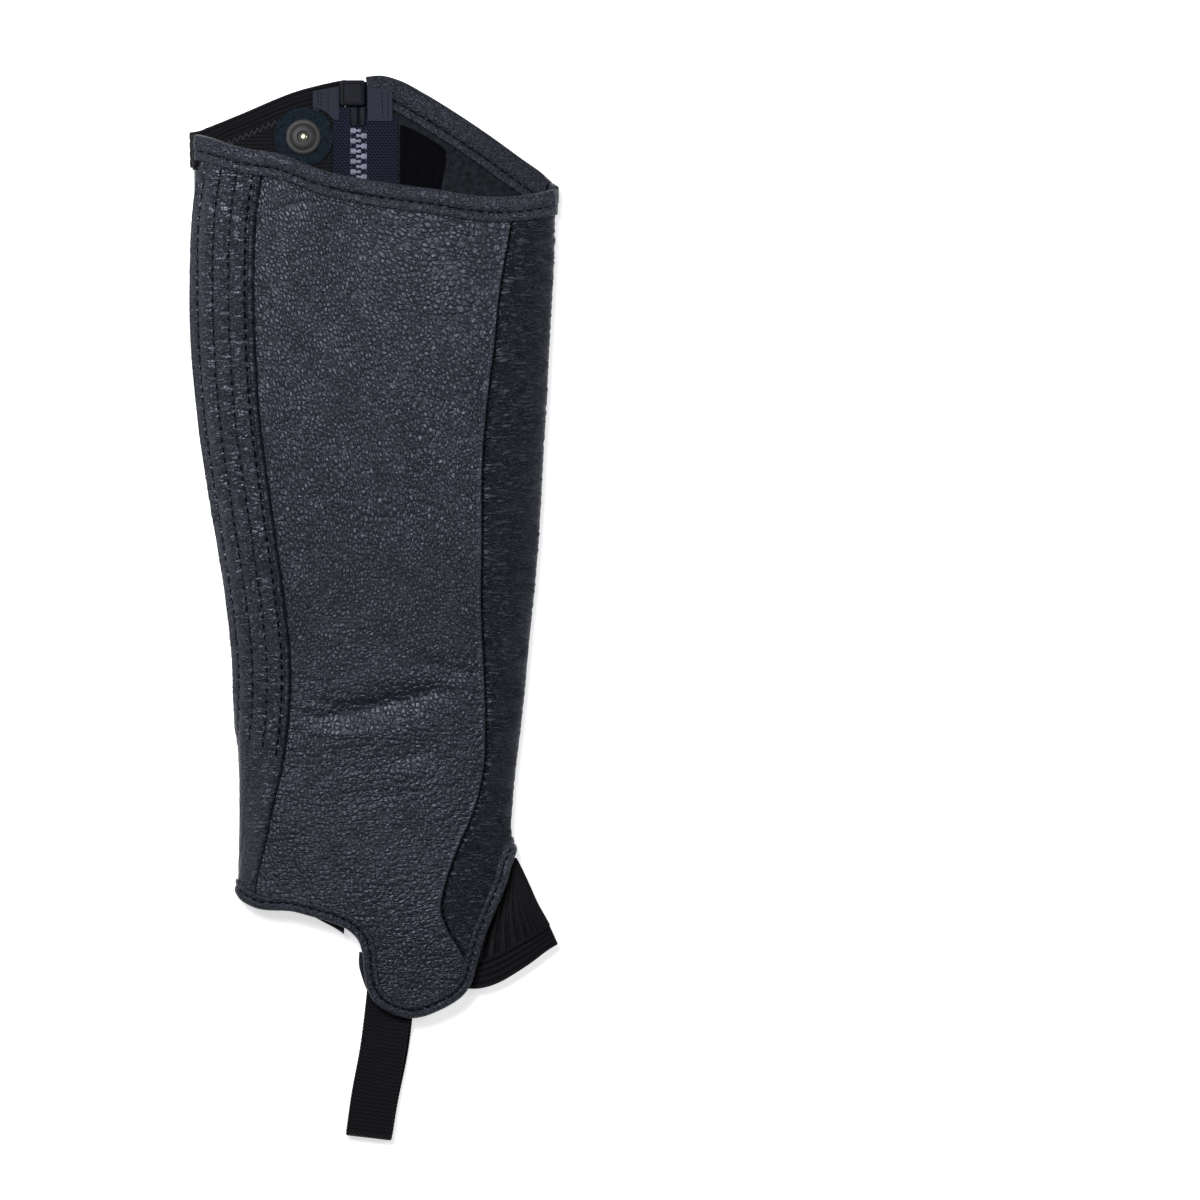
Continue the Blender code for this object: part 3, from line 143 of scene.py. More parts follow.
# ---- folds of the upper layer: from x, y, to x, y, half width, depth (a negative depth is a ridge) ----
FOLDS = (
    (5.2, 1.5, (-34.0, -57.0), (-6.0, -53.5), (12.0, -48.5), (36.0, -43.0)),
    (6.5, -0.6, (-28.0, -67.0), (4.0, -64.0), (28.0, -58.0)), (6.0, -0.4, (-22.0, -43.0), (8.0, -38.5), (30.0, -33.5)),
    (5.0, 0.6, (26.0, -28.0), (52.0, -35.0)), (7.0, 0.6, (8.0, -78.0), (40.0, -73.0)),
    (4.5, 0.35, (-44.4, -123.0), (-38.1, -147.0)), (5.0, 0.4, (-23.4, -124.0), (-15.5, -148.0)),
    (4.5, 0.5, (-52.0, 207.0), (-30.0, 212.5)),
)
# Finer creases, in the same form. They only shape the outer face.
CREASES = (
    (2.0, 0.55, (-38.0, -47.0), (-22.0, -50.5), (0.0, -49.5), (20.0, -43.5), (36.0, -42.0)),
    (2.2, 0.75, (-24.0, -56.0), (-8.0, -54.5), (12.0, -49.5), (30.0, -44.5), (46.0, -44.5)),
    (1.7, 0.45, (-44.0, -52.0), (-30.0, -57.5), (-12.0, -58.5), (8.0, -54.0), (30.0, -47.5)),
    (1.8, 0.40, (-33.0, -62.0), (-12.0, -63.5), (10.0, -59.5), (30.0, -52.5)),
    (1.5, 0.35, (-26.0, -44.0), (-6.0, -45.5), (16.0, -40.5), (26.0, -39.0)),
    (1.4, 0.30, (0.0, -66.0), (20.0, -61.0), (40.0, -57.0)), (1.4, 0.35, (30.0, -50.0), (44.0, -49.0), (55.0, -52.5)),
    (1.3, 0.30, (-40.0, -66.0), (-24.0, -69.0), (-6.0, -68.5)),
    (1.3, 0.25, (-18.0, -41.0), (2.0, -41.0), (14.0, -37.0)),
    (2.6, 0.50, (25.0, -26.5), (40.0, -32.5), (54.0, -35.0)), (1.7, 0.35, (30.0, -31.0), (44.0, -36.5), (55.0, -39.0)),
    (1.6, 0.25, (34.0, -22.0), (46.0, -26.0), (55.0, -28.5)), (1.6, 0.3, (12.0, -79.0), (30.0, -76.0)),
    (1.6, 0.25, (28.0, -70.0), (54.0, -66.0)), (1.8, 0.3, (-43.9, -124.0), (-41.0, -138.0), (-38.3, -147.5)),
    (1.8, 0.3, (-23.2, -125.0), (-19.0, -138.0), (-15.8, -149.0)), (1.3, 0.3, (-36.0, -128.0), (-33.5, -150.0)),
    (1.2, 0.25, (-47.5, -132.0), (-45.0, -151.0)), (1.5, 0.3, (-27.0, -130.0), (-21.0, -152.0)),
    (1.2, 0.25, (-30.0, -136.0), (-27.0, -153.0)), (1.4, 0.3, (-51.0, 208.5), (-32.0, 212.5)),
    (1.6, 0.25, (-50.0, 200.0), (-30.0, 203.0)), (1.8, 0.2, (-46.0, 190.5), (-26.0, 192.5)),
    (1.8, 0.35, (22.0, -150.0), (33.0, -158.0)), (2.0, 0.3, (14.0, -164.0), (30.0, -170.0)),
    (1.6, 0.35, (4.0, -176.0), (9.0, -196.0)), (1.4, 0.3, (14.0, -180.0), (16.0, -202.0)),
    (1.4, 0.3, (24.0, -182.0), (25.0, -203.0)), (1.5, 0.25, (34.0, -178.0), (31.0, -198.0)),
    (1.5, 0.4, (60.0, -118.0), (66.0, -122.0)), (1.4, 0.35, (56.0, -132.0), (62.0, -139.0)),
    (1.3, 0.35, (40.0, -150.0), (56.0, -151.0)), (1.2, 0.3, (41.0, -157.0), (54.0, -157.0)),
    (1.2, 0.3, (43.0, -163.0), (53.0, -162.0)), (1.4, 0.3, (44.0, -142.0), (58.0, -145.0)),
    (5.0, 0.3, (-8.0, 40.0), (26.0, 52.0)), (6.0, 0.3, (-20.0, -100.0), (20.0, -96.0)),
    (1.3, 0.35, (-66.0, -112.0), (-68.0, -146.0)), (1.2, 0.3, (-61.0, -126.0), (-65.0, -150.0)),
    (5.0, 0.35, (40.0, 104.0), (54.0, 60.0)), (4.0, 0.25, (-36.0, 96.0), (-8.0, 78.0)),
)

# ---- stitched strip at the back ----
STRIP_WIDTH = 48.0
ROW_FIRST = 4.0
ROW_PITCH = 8.6
ROW_COUNT = 4
ROW_SQUEEZE = ((-60.0, 0.88), (228.0, 1.0))
ROW_FADE = (-88.0, -62.0)
CHANNEL_RISE = 1.15
WELT_RISE = 0.35
STRIP_NOTCH = 33.3
STRIP_NOTCH_Y = 229.2
BAND_START_TURN = 1.9

# ---- bindings and bands ----
EDGE_INSET = 1.6
TOP_LEAF = 13.5
TOP_STITCH = 8.4
HEM_LEAF = 7.4
HEM_STITCH = 4.2
INNER_LEAF = 7.0
FACING_THICK = 0.9
FACING = 16.0
FACING_STITCH = 11.4
FACING_START = -4.6
BAND_THICK = 1.45
BAND_WIDTH = 12.6
BAND_WIDTH_AT_FOLD = 18.8
BAND_RIBS = 4
RIB_RISE = 0.3

# ---- zip ----
ZIP_X = -8.3
ZIP_TOP = 252.6
BOX_LOW_Y = 263.3
BOX_HIGH_Y = 276.8
BOX_THICK = 4.0
TAPE_BACK = -21.6
TAPE_FRONT = 12.2
CHAIN_WIDTH = 8.8
CHAIN_THICK = 3.4
CHAIN_MIDDLE = 2.4
TOOTH_PITCH = 5.4
OPEN_HALF = 7.4
SLIDER_Y = -160.0
SLIDER_LIFT = 4.5
RISE_ACROSS = (-64.0, -22.0, 12.4, 48.0)
RISE_ALONG = (-205.0, -173.0, -146.0, -104.0)

# ---- snap ----
SNAP_X = -37.3
SNAP_Y = 247.1
SNAP_PATCH_RADIUS = 15.6

# ---- foot strap: centre line seen from above ----
STRAP_LINE = ((8.6, -196.0), (7.4, -208.0), (4.4, -231.7), (-0.4, -258.0), (-3.2, -278.2))
STRAP_WIDTH = 23.8
STRAP_END = 3.6
STRAP_SHIFT = 1.4


# ---- curves ----

def curve(stations, values):
    """Cubic through the values at ascending stations, with the slope of the neighbours at each."""
    at = np.asarray(stations, float)
    value = np.asarray(values, float)
    slope = np.gradient(value, at)

    def evaluate(x):
        x = np.clip(x, at[0], at[-1])
        k = np.clip(np.searchsorted(at, x, side="right") - 1, 0, len(at) - 2)
        step = at[k + 1] - at[k]
        t = (x - at[k]) / step
        low = value[k] * (1 + 2 * t) * (1 - t) ** 2 + step * slope[k] * t * (1 - t) ** 2
        high = value[k + 1] * t * t * (3 - 2 * t) - step * slope[k + 1] * t * t * (1 - t)
        return low + high

    return evaluate


def column(table, index):
    """One column of a table, as an array."""
    return np.array([row[index] for row in table], float)


def by_y(table, index, y_index=0):
    """Smooth function of y through one column of a table."""
    ys = column(table, y_index)
    order = np.argsort(ys)
    return curve(ys[order], column(table, index)[order])


def smooth_step(x, low, high):
    """0 below low and 1 above high, with a cubic in between."""
    t = np.clip((x - low) / (high - low), 0.0, 1.0)
    return t * t * (3 - 2 * t)


def along_line(points, spacing):
    """Points at even spacing along the smooth line through the given points."""
    points = np.asarray(points, float)
    length = np.concatenate(([0.0], np.cumsum(np.hypot(*np.diff(points, axis=0).T))))
    fine = np.linspace(0.0, length[-1], 40 * len(points))
    line = np.stack([curve(length, points[:, k])(fine) for k in (0, 1)], axis=-1)
    run = np.concatenate(([0.0], np.cumsum(np.hypot(*np.diff(line, axis=0).T))))
    at = np.linspace(0.0, run[-1], int(round(run[-1] / spacing)) + 1)
    return np.stack([np.interp(at, run, line[:, k]) for k in (0, 1)], axis=-1)


def inward(line, side):
    """Unit normals of a line, to its left (side 1) or right (side -1)."""
    along = np.gradient(line, axis=0)
    along /= np.linalg.norm(along, axis=1, keepdims=True)
    return side * np.stack([-along[:, 1], along[:, 0]], axis=-1)


def bezier(a, b, c, d, t):
    """Cubic curve from a to d, drawn towards b and c."""
    return a * (1 - t) ** 3 + 3 * b * (1 - t) ** 2 * t + 3 * c * (1 - t) * t * t + d * t ** 3


def look_up(table, rows, columns, y, x):
    """Values between the entries of a table with even rows and columns."""
    y, x = np.broadcast_arrays(np.asarray(y, float), np.asarray(x, float))
    j = np.clip((y - rows[0]) / (rows[1] - rows[0]), 0, len(rows) - 1.001)
    i = np.clip((x - columns[0]) / (columns[1] - columns[0]), 0, len(columns) - 1.001)
    a, b = j.astype(int), i.astype(int)
    s, t = j - a, i - b
    low = table[a, b] * (1 - t) + table[a, b + 1] * t
    high = table[a + 1, b] * (1 - t) + table[a + 1, b + 1] * t
    return low * (1 - s) + high * s


def waves(p, seed, count, low, high):
    """Sum of sines of position p with wavelengths between two lengths and fixed phases, from -1 to 1."""
    draw = np.random.default_rng(seed)
    total = np.zeros(np.shape(p))
    for _ in range(count):
        total += np.sin(2 * math.pi * (p / draw.uniform(low, high) + draw.uniform()))
    return total / count


def mottle(x, y, seed, size):
    """Smooth uneven field from -1 to 1: sums of plane waves in many directions."""
    draw = np.random.default_rng(seed)
    total = np.zeros(np.broadcast(x, y).shape)
    for _ in range(9):
        angle, length = draw.uniform(0, 2 * math.pi), size * draw.uniform(0.7, 1.5)
        total += np.sin(2 * math.pi * ((x * math.cos(angle) + y * math.sin(angle)) / length + draw.uniform()))
    return total / 4.5


# ---- the tube ----

def line_drop(table, x, y):
    """Sum of soft troughs: each is a bell curve of the distance from a bent line, and fades to the line's ends."""
    drop = np.zeros(np.broadcast(x, y).shape)
    for half_width, depth, *line in table:
        line = np.array(line)
        runs = np.diff(line, axis=0)
        lengths = np.linalg.norm(runs, axis=1)
        nearest, along, before = np.full(drop.shape, 1e9), np.zeros(drop.shape), 0.0
        for (x0, y0), (run_x, run_y), length in zip(line[:-1], runs, lengths):
            share = np.clip(((x - x0) * run_x + (y - y0) * run_y) / length ** 2, 0.0, 1.0)
            distance = np.hypot(x - x0 - share * run_x, y - y0 - share * run_y)
            along = np.where(distance < nearest, before + share * length, along)
            nearest = np.minimum(distance, nearest)
            before += length
        fade = 0.35 + 0.65 * np.sin(np.pi * np.clip(along / before, 0.0, 1.0))
        drop += depth * fade * np.exp(-((nearest / half_width) ** 2))
    return drop


def slider_bump(x, y):
    """How far the lower layer rises over the slider."""
    across = smooth_step(x, *RISE_ACROSS[:2]) - smooth_step(x, *RISE_ACROSS[2:])
    along = smooth_step(y, *RISE_ALONG[:2]) - smooth_step(y, *RISE_ALONG[2:])
    return SLIDER_LIFT * across * along


class Tube:
    """A flattened tube. A place on it has a turn, which is 0 at the shin fold, 1 in the middle of the upper layer
    and 2 at the back fold. Past either fold one more turn is the quarter that curves in under the fold, and the
    rest lies flat. A depth is measured inwards from the outer face."""

    TURNS = np.linspace(-5.0, 6.0, 221)
    MIDDLE_TURN = 120
    ROWS = np.arange(-232.0, 294.0, 2.0)
    REACH = np.arange(-240.0, 241.0, 1.0)

    def __init__(self, front, back, crown, floor, folded):
        self.front, self.back, self.crown, self.floor, self.folded = front, back, crown, floor, folded
        points = self.point(self.TURNS[None, :], self.ROWS[:, None])
        steps = np.linalg.norm(np.diff(points, axis=1), axis=-1)
        length = np.concatenate([np.zeros((len(self.ROWS), 1)), np.cumsum(steps, axis=1)], axis=1)
        middle = self.MIDDLE_TURN
        self.lengths = points[:, middle, 0][:, None] + length[:, middle][:, None] - length
        self.turns = np.array([np.interp(self.REACH, row[::-1], self.TURNS[::-1]) for row in self.lengths])

    def point(self, turn, y, depth=0.0):
        """Place at a turn and height, sunk by a depth: cubics above, quarter rounds and a flat below."""
        turn, y, depth = np.broadcast_arrays(*(np.asarray(v, float) for v in (turn, y, depth)))
        front, back = self.front(y), self.back(y)
        middle = (front + back) / 2
        height = self.crown(y) - self.floor
        shin = turn < 1
        edge = np.where(shin, front, back)
        side = np.where(shin, 1.0, -1.0)
        tip_z = self.floor + height * np.where(shin, SHIN_TIP, BACK_TIP)
        run = np.where(shin, SHIN_RUN, BACK_RUN)

        half = np.clip(np.where(shin, turn, 2 - turn), 0.0, 1.0)
        tip_x = edge - side * depth
        top = self.floor + height - depth
        x_over = bezier(tip_x, tip_x, middle + CROWN_REACH * (tip_x - middle), middle, half)
        z_over = bezier(tip_z, tip_z + CROWN_RISE * (top - tip_z), top, top, half)
        if self.folded:
            z_over = z_over - line_drop(FOLDS, x_over, y)

        under = np.maximum(np.where(shin, -turn, turn - 2), 0.0)
        angle = np.minimum(under, 1.0) * math.pi / 2
        past = np.maximum(under - 1, 0.0) * run * math.pi / 2
        x_under = edge - side * (run - (run - depth) * np.cos(angle) + past)
        z_under = tip_z - (tip_z - self.floor - depth) * np.sin(angle)
        if self.folded:
            z_under = z_under + slider_bump(x_under, y) * smooth_step(under, 0.8, 1.2)

        over = under <= 0
        return np.stack([np.where(over, x_over, x_under), y, np.where(over, z_over, z_under)], axis=-1)

    def turn_at(self, x, y):
        """The turn of a place on the upper layer seen from above."""
        x, y = np.broadcast_arrays(np.asarray(x, float), np.asarray(y, float))
        front, back = self.front(y), self.back(y)
        middle = (front + back) / 2
        shin = x > middle
        share = np.clip((x - middle) / (np.where(shin, front, back) - middle), 0.0, 1.0)
        low, high = np.zeros(share.shape), np.ones(share.shape)
        for _ in range(30):
            t = (low + high) / 2
            nearer = bezier(1.0, 1.0, CROWN_REACH, 0.0, t) > share
            low, high = np.where(nearer, t, low), np.where(nearer, high, t)
        return np.where(shin, t, 2 - t)

    def girth(self, turn, y):
        """Pattern position u of a turn: the length round the section, equal to x in the middle of the upper layer."""
        return look_up(self.lengths, self.ROWS, self.TURNS, y, turn)

    def turn_over(self, u, y):
        """Turn of a pattern point of the upper layer."""
        return look_up(self.turns, self.ROWS, self.REACH, y, u)

    def over(self, u, y, depth=0.0):
        """Place of a pattern point of the upper layer."""
        return self.point(self.turn_over(u, y), y, depth)

    def seen(self, x, y):
        """Pattern position of a point seen on the upper layer."""
        return self.girth(self.turn_at(x, y), y)

    def turn_below(self, w, y):
        """The turn of a pattern point of the lower layer: w is x where it lies flat, and runs on up a fold."""
        front, back = self.front(y), self.back(y)
        return np.where(
            w > (front + back) / 2,
            -1 - (w - front + SHIN_RUN) / (-SHIN_RUN * math.pi / 2),
            3 + (w - back - BACK_RUN) / (BACK_RUN * math.pi / 2),
        )

    def below(self, w, y, depth=0.0):
        """Place of a pattern point of the lower layer."""
        w, y = np.broadcast_arrays(np.asarray(w, float), np.asarray(y, float))
        return self.point(self.turn_below(w, y), y, depth)

    def joined(self, line):
        """A line of the lower layer's pattern, as pattern points of the upper layer."""
        return np.stack([self.girth(self.turn_below(line[:, 0], line[:, 1]), line[:, 1]), line[:, 1]], axis=-1)


LEG = Tube(by_y(SECTIONS, 2), by_y(SECTIONS, 1), by_y(SECTIONS, 3), 0.0, True)
FAN = Tube(
    by_y(GUSSET_SECTIONS, 1), lambda y: np.full(np.shape(y), GUSSET_BACK), by_y(GUSSET_CROWN, 1), GUSSET_FLOOR, False
)

upper_top = curve(column(UPPER_TOP, 0), column(UPPER_TOP, 1))
lower_top = curve(column(LOWER_TOP, 0), column(LOWER_TOP, 1))
back_seam_x = by_y(BACK_SEAM, 0, 1)
shin_seam_x = by_y(SHIN_SEAM, 0, 1)
under_seam_x = by_y(UNDER_SEAM, 1)


def back_seam(y):
    """Pattern position u of the back seam at heights y."""
    return LEG.seen(back_seam_x(y), y)


def shin_seam(y):
    """Pattern position u of the shin seam at heights y."""
    return LEG.seen(shin_seam_x(y), y)


def under_seam(y):
    """Pattern position u, on past the shin fold, of the seam under the leg."""
    return LEG.girth(LEG.turn_below(under_seam_x(y), y), y)


# ---- meshes ----

def grid_faces(rows, columns, start=0):
    """Quads between neighbours of a grid of points."""
    k = start + np.arange(rows * columns).reshape(rows, columns)
    return np.stack([k[:-1, :-1], k[:-1, 1:], k[1:, 1:], k[1:, :-1]], axis=-1).reshape(-1, 4)


def ring_faces(rings, steps, start=0):
    """Quads between closed rings of points."""
    k = start + np.arange(rings * steps).reshape(rings, steps)
    n = np.roll(k, -1, axis=1)
    return np.stack([k[:-1], n[:-1], n[1:], k[1:]], axis=-1).reshape(-1, 4)


def volume(points, faces):
    """Signed volume inside quads, from triangle fans."""
    a, b, c, d = (points[faces[:, k]] for k in range(4))
    return float((a * np.cross(b, c)).sum() + (a * np.cross(c, d)).sum())


def mesh_piece(name, points, faces, finishes, slots=None, maps=None, values=None, sharp=40.0):
    """One object at the origin from points in millimetres. Maps are UV maps and values are numbers, one each point."""
    faces = np.asarray(faces)
    if volume(points, faces) < 0:
        faces = faces[:, ::-1]
    mesh = bpy.data.meshes.new(name)
    mesh.from_pydata((np.asarray(points) * MM).tolist(), [], faces.tolist())
    for finish in finishes:
        mesh.materials.append(finish)
    if slots is not None:
        mesh.polygons.foreach_set("material_index", np.asarray(slots, np.int32))
    corners = faces.ravel()
    for key, flat in (maps or {}).items():
        layer = mesh.uv_layers.new(name=key)
        layer.uv.foreach_set("vector", np.asarray(flat, np.float32)[corners].ravel())
    for key, number in (values or {}).items():
        made = mesh.attributes.new(key, "FLOAT", "POINT")
        made.data.foreach_set("value", np.asarray(number, np.float32).ravel())
    mesh.shade_smooth()
    mesh.set_sharp_from_angle(angle=math.radians(sharp))
    mesh.update()
    thing = bpy.data.objects.new(name, mesh)
    bpy.context.scene.collection.objects.link(thing)
    return thing


def shell(name, outer, inner, finishes, flat=None, values=None, sharp=40.0):
    """A closed wall between two grids of points. The outer face takes the first finish and the inner one the last."""
    rows, columns = outer.shape[:2]
    count = rows * columns
    k = np.arange(count).reshape(rows, columns)
    front = grid_faces(rows, columns)
    back = grid_faces(rows, columns, count)[:, ::-1]
    rim = np.concatenate([k[0, :-1], k[:-1, -1], k[-1, :0:-1], k[:0:-1, 0]])
    after = np.roll(rim, -1)
    side = np.stack([after, rim, rim + count, after + count], axis=-1)
    slots = np.concatenate([
        np.zeros(len(front)), np.full(len(back), len(finishes) - 1), np.zeros(len(side)),
    ]).astype(np.int32)
    points = np.concatenate([outer.reshape(-1, 3), inner.reshape(-1, 3)])
    maps = None
    if flat is not None:
        uv = np.stack([np.broadcast_to(flat[0], (rows, columns)), np.broadcast_to(flat[1], (rows, columns))], axis=-1)
        maps = {"pattern": np.tile(uv.reshape(-1, 2) * MM, (2, 1))}
    both = {key: np.tile(np.broadcast_to(v, (rows, columns)).ravel(), 2) for key, v in (values or {}).items()}
    return mesh_piece(name, points, np.concatenate([front, back, side]), finishes, slots, maps, both, sharp)


def capped_faces(rings, steps):
    """Quads between closed rings, and strips of quads that cap the first and the last ring."""
    faces = [ring_faces(rings, steps)]
    across = np.arange(steps // 2 - 1)
    for start, turn in ((0, 1), ((rings - 1) * steps, -1)):
        k = start + across
        m = start + steps - 1 - across
        faces.append(np.stack([k, k + 1, m - 1, m], axis=-1)[:, ::-turn])
    return np.concatenate(faces)


def carry(name, loop, finishes, **more):
    """Closed rings of points, one after another, with flat ends. Loop is rings by steps by 3."""
    return mesh_piece(name, loop.reshape(-1, 3), capped_faces(*loop.shape[:2]), finishes, **more)


def extrude(name, outline, low, high, finishes, rounding=0.3, **more):
    """An outline seen from above with rounded upper and lower rims: rings of the outline, drawn in at each end."""
    outline = np.asarray(outline, float)
    centre = outline.mean(axis=0)
    size = np.abs(outline - centre).max(axis=0)
    rings = []
    for z, draw in ((low, rounding), (low + rounding, 0.0), (high - rounding, 0.0), (high, rounding)):
        flat = centre + (outline - centre) * (1 - draw / size)
        rings.append(np.concatenate([flat, np.full((len(flat), 1), z)], axis=1))
    return carry(name, np.array(rings), finishes, **more)


def rounded(corners, radius, steps=5):
    """An outline with each corner turned on a small curve."""
    corners = np.asarray(corners, float)
    before, after = np.roll(corners, 1, axis=0), np.roll(corners, -1, axis=0)
    a = before - corners
    b = after - corners
    la, lb = np.linalg.norm(a, axis=1, keepdims=True), np.linalg.norm(b, axis=1, keepdims=True)
    start = corners + a / la * np.minimum(radius, la * 0.45)
    end = corners + b / lb * np.minimum(radius, lb * 0.45)
    t = np.linspace(0, 1, steps)[None, :, None]
    bend = start[:, None] * (1 - t) ** 2 + 2 * corners[:, None] * t * (1 - t) + end[:, None] * t * t
    return bend.reshape(-1, 2)


def even_count(outline):
    """The outline with an even number of points, as the caps need."""
    return outline if len(outline) % 2 == 0 else np.concatenate([outline, (outline[-1:] + outline[:1]) / 2])


THREAD_RING = 6
THREAD_RINGS = np.array([(-0.5, 0.35), (-0.36, 0.9), (0.0, 1.0), (0.36, 0.9), (0.5, 0.35)])


def thread_faces(count):
    """Faces of many small closed beads, of THREAD_RING sides each."""
    rings = len(THREAD_RINGS)
    near = np.array([[3, 2, 1, 0], [5, 4, 3, 0]])
    far = (rings - 1) * THREAD_RING + np.array([[0, 1, 2, 3], [0, 3, 4, 5]])
    one = np.concatenate([ring_faces(rings, THREAD_RING), near, far])
    return (one[None] + (np.arange(count) * rings * THREAD_RING)[:, None, None]).reshape(-1, 4)


def beads(start, end, up, radius, flat=0.6):
    """Points of a bead from each start to each end: rings on an arched line, flattened against the cloth."""
    start, end, up = (np.asarray(v, float) for v in (start, end, up))
    along = end - start
    length = np.linalg.norm(along, axis=1, keepdims=True)
    axis = along / length
    across = np.cross(axis, up)
    across /= np.linalg.norm(across, axis=1, keepdims=True)
    rise = np.cross(across, axis)
    at = THREAD_RINGS[:, 0]
    wide = THREAD_RINGS[:, 1] * radius
    a = np.arange(THREAD_RING) * 2 * math.pi / THREAD_RING
    middle = (start + end) / 2
    arch = (0.5 - 4 * at ** 2 * 0.5) * radius
    centre = middle[:, None] + along[:, None] * at[None, :, None] + rise[:, None] * arch[None, :, None]
    ring = (
        across[:, None, None] * (np.cos(a)[None, None, :, None] * wide[None, :, None, None])
        + rise[:, None, None] * (np.sin(a)[None, None, :, None] * wide[None, :, None, None] * flat)
    )
    return (centre[:, :, None] + ring).reshape(-1, 3)


def stitches(name, rows, finish, radius=0.32, share=0.72):
    """Thread beads along lines. Each row is points on the cloth, their outward normals and the stitch pitch."""
    points = []
    for line, normals, pitch in rows:
        run = np.concatenate(([0.0], np.cumsum(np.linalg.norm(np.diff(line, axis=0), axis=1))))
        at = np.arange(pitch * 0.5, run[-1] - pitch * share, pitch)
        if len(at) == 0:
            continue
        start, end, up = (
            np.stack([np.interp(at + shift, run, data[:, k]) for k in range(3)], axis=-1)
            for data, shift in ((line, 0.0), (line, pitch * share), (normals, pitch * share / 2))
        )
        points.append(beads(start, end, up, radius))
    points = np.concatenate(points)
    count = len(points) // (THREAD_RING * len(THREAD_RINGS))
    return mesh_piece(name, points, thread_faces(count), [finish], sharp=80.0)


def surface_row(place, line, depth, pitch):
    """A stitch row on a surface: points at a pattern line, and normals from the surface's own slopes."""
    u, y = line[:, 0], line[:, 1]
    at = place(u, y, depth)
    du = place(u + 0.5, y, depth) - place(u - 0.5, y, depth)
    dy = place(u, y + 0.5, depth) - place(u, y - 0.5, depth)
    normal = np.cross(du, dy)
    normal /= np.linalg.norm(normal, axis=1, keepdims=True)
    outward = place(u, y, depth - 1.0) - at
    normal *= np.sign((normal * outward).sum(axis=1, keepdims=True))
    return at, normal, pitch


# ---- pattern lines ----

def upper_hem_points():
    """The upper layer's hem as pattern points, from under the back fold to under the shin fold."""
    x, y = np.array(UPPER_HEM).T
    line = np.stack([LEG.seen(x, y), y], axis=-1)
    back_y = np.array([HEM_AT_BACK_FOLD + 0.6, HEM_AT_BACK_FOLD])
    back = np.stack([LEG.girth(np.array([2.3, 2.0]), back_y), back_y], axis=-1)
    shin_y = np.array([HEM_AT_SHIN_FOLD, HEM_AT_SHIN_FOLD - 0.3])
    shin = np.stack([LEG.girth(np.array([0.0, -0.22]), shin_y), shin_y], axis=-1)
    return np.concatenate([back, line, shin])


hem_line = along_line(upper_hem_points(), 0.75)
hem_inward = inward(hem_line, 1)
hem_edge = hem_line + EDGE_INSET * hem_inward
front_hem = along_line(FRONT_HEM, 0.9)
front_hem_inward = inward(front_hem, 1)
front_hem_edge = front_hem + EDGE_INSET * front_hem_inward
back_hem = along_line(BACK_HEM, 0.9)
back_hem_inward = np.tile([0.0, 1.0], (len(back_hem), 1))
back_hem_edge = back_hem + EDGE_INSET * back_hem_inward


def mouth_y(turn, x):
    """Height of the mouth on the upper layer, and past the folds on the lower one."""
    return np.where((turn >= 0) & (turn <= 2), upper_top(x), lower_top(x))


def mouth_line(turn, inset):
    """The mouth's edge as pattern points at the given turns, moved down by an inset."""
    y = np.full(np.shape(turn), 220.0)
    for _ in range(ROUNDS):
        y = mouth_y(turn, LEG.point(turn, y)[..., 0]) - inset
    return np.stack([LEG.girth(turn, y), y], axis=-1)


def outer_mouth_line(spacing):
    """The lower layer's mouth in front of the zip, from beside the box to the shin fold."""
    y = 222.0
    for _ in range(10):
        w = LEG.front(y) - SHIN_RUN + 0.5 * SHIN_RUN * math.pi / 2
        y = lower_top(LEG.below(w, y)[0])
    across = np.arange(FACING_START, w, spacing)
    across = np.append(across[:-1], w)
    height = np.full(across.shape, 230.0)
    for _ in range(12):
        height = lower_top(LEG.below(across, height)[..., 0])
    return np.stack([across, height], axis=-1)


mouth = mouth_line(np.concatenate([
    np.linspace(1.87, 1.5, 34), np.linspace(1.5, 0.5, 120)[1:], np.linspace(0.5, 0.0, 70)[1:],
    np.linspace(0.0, -0.4, 12)[1:],
]), 0.0)
outer_mouth = outer_mouth_line(0.9)
outer_mouth_inward = inward(outer_mouth, -1)


def ordered(line):
    """The points of a line in order of u."""
    return line[np.argsort(line[:, 0])]


HEM_BY_U = ordered(np.concatenate([LEG.joined(back_hem_edge), hem_edge, LEG.joined(front_hem_edge)[::-1]]))


def crossing(line, seam):
    """The part of a line in order of u up to a seam, and the part after it."""
    gap = line[:, 0] - seam(line[:, 1])
    k = int(np.argmax(np.sign(gap[1:]) != np.sign(gap[:-1])))
    share = gap[k] / (gap[k] - gap[k + 1])
    foot = line[k] + share * (line[k + 1] - line[k])
    return np.concatenate([line[:k + 1], foot[None]]), np.concatenate([foot[None], line[k + 1:]])


def resample(line, count):
    """A line at even steps of its own length."""
    run = np.concatenate(([0.0], np.cumsum(np.hypot(*np.diff(line, axis=0).T))))
    at = np.linspace(0.0, run[-1], count)
    return np.stack([np.interp(at, run, line[:, k]) for k in (0, 1)], axis=-1)


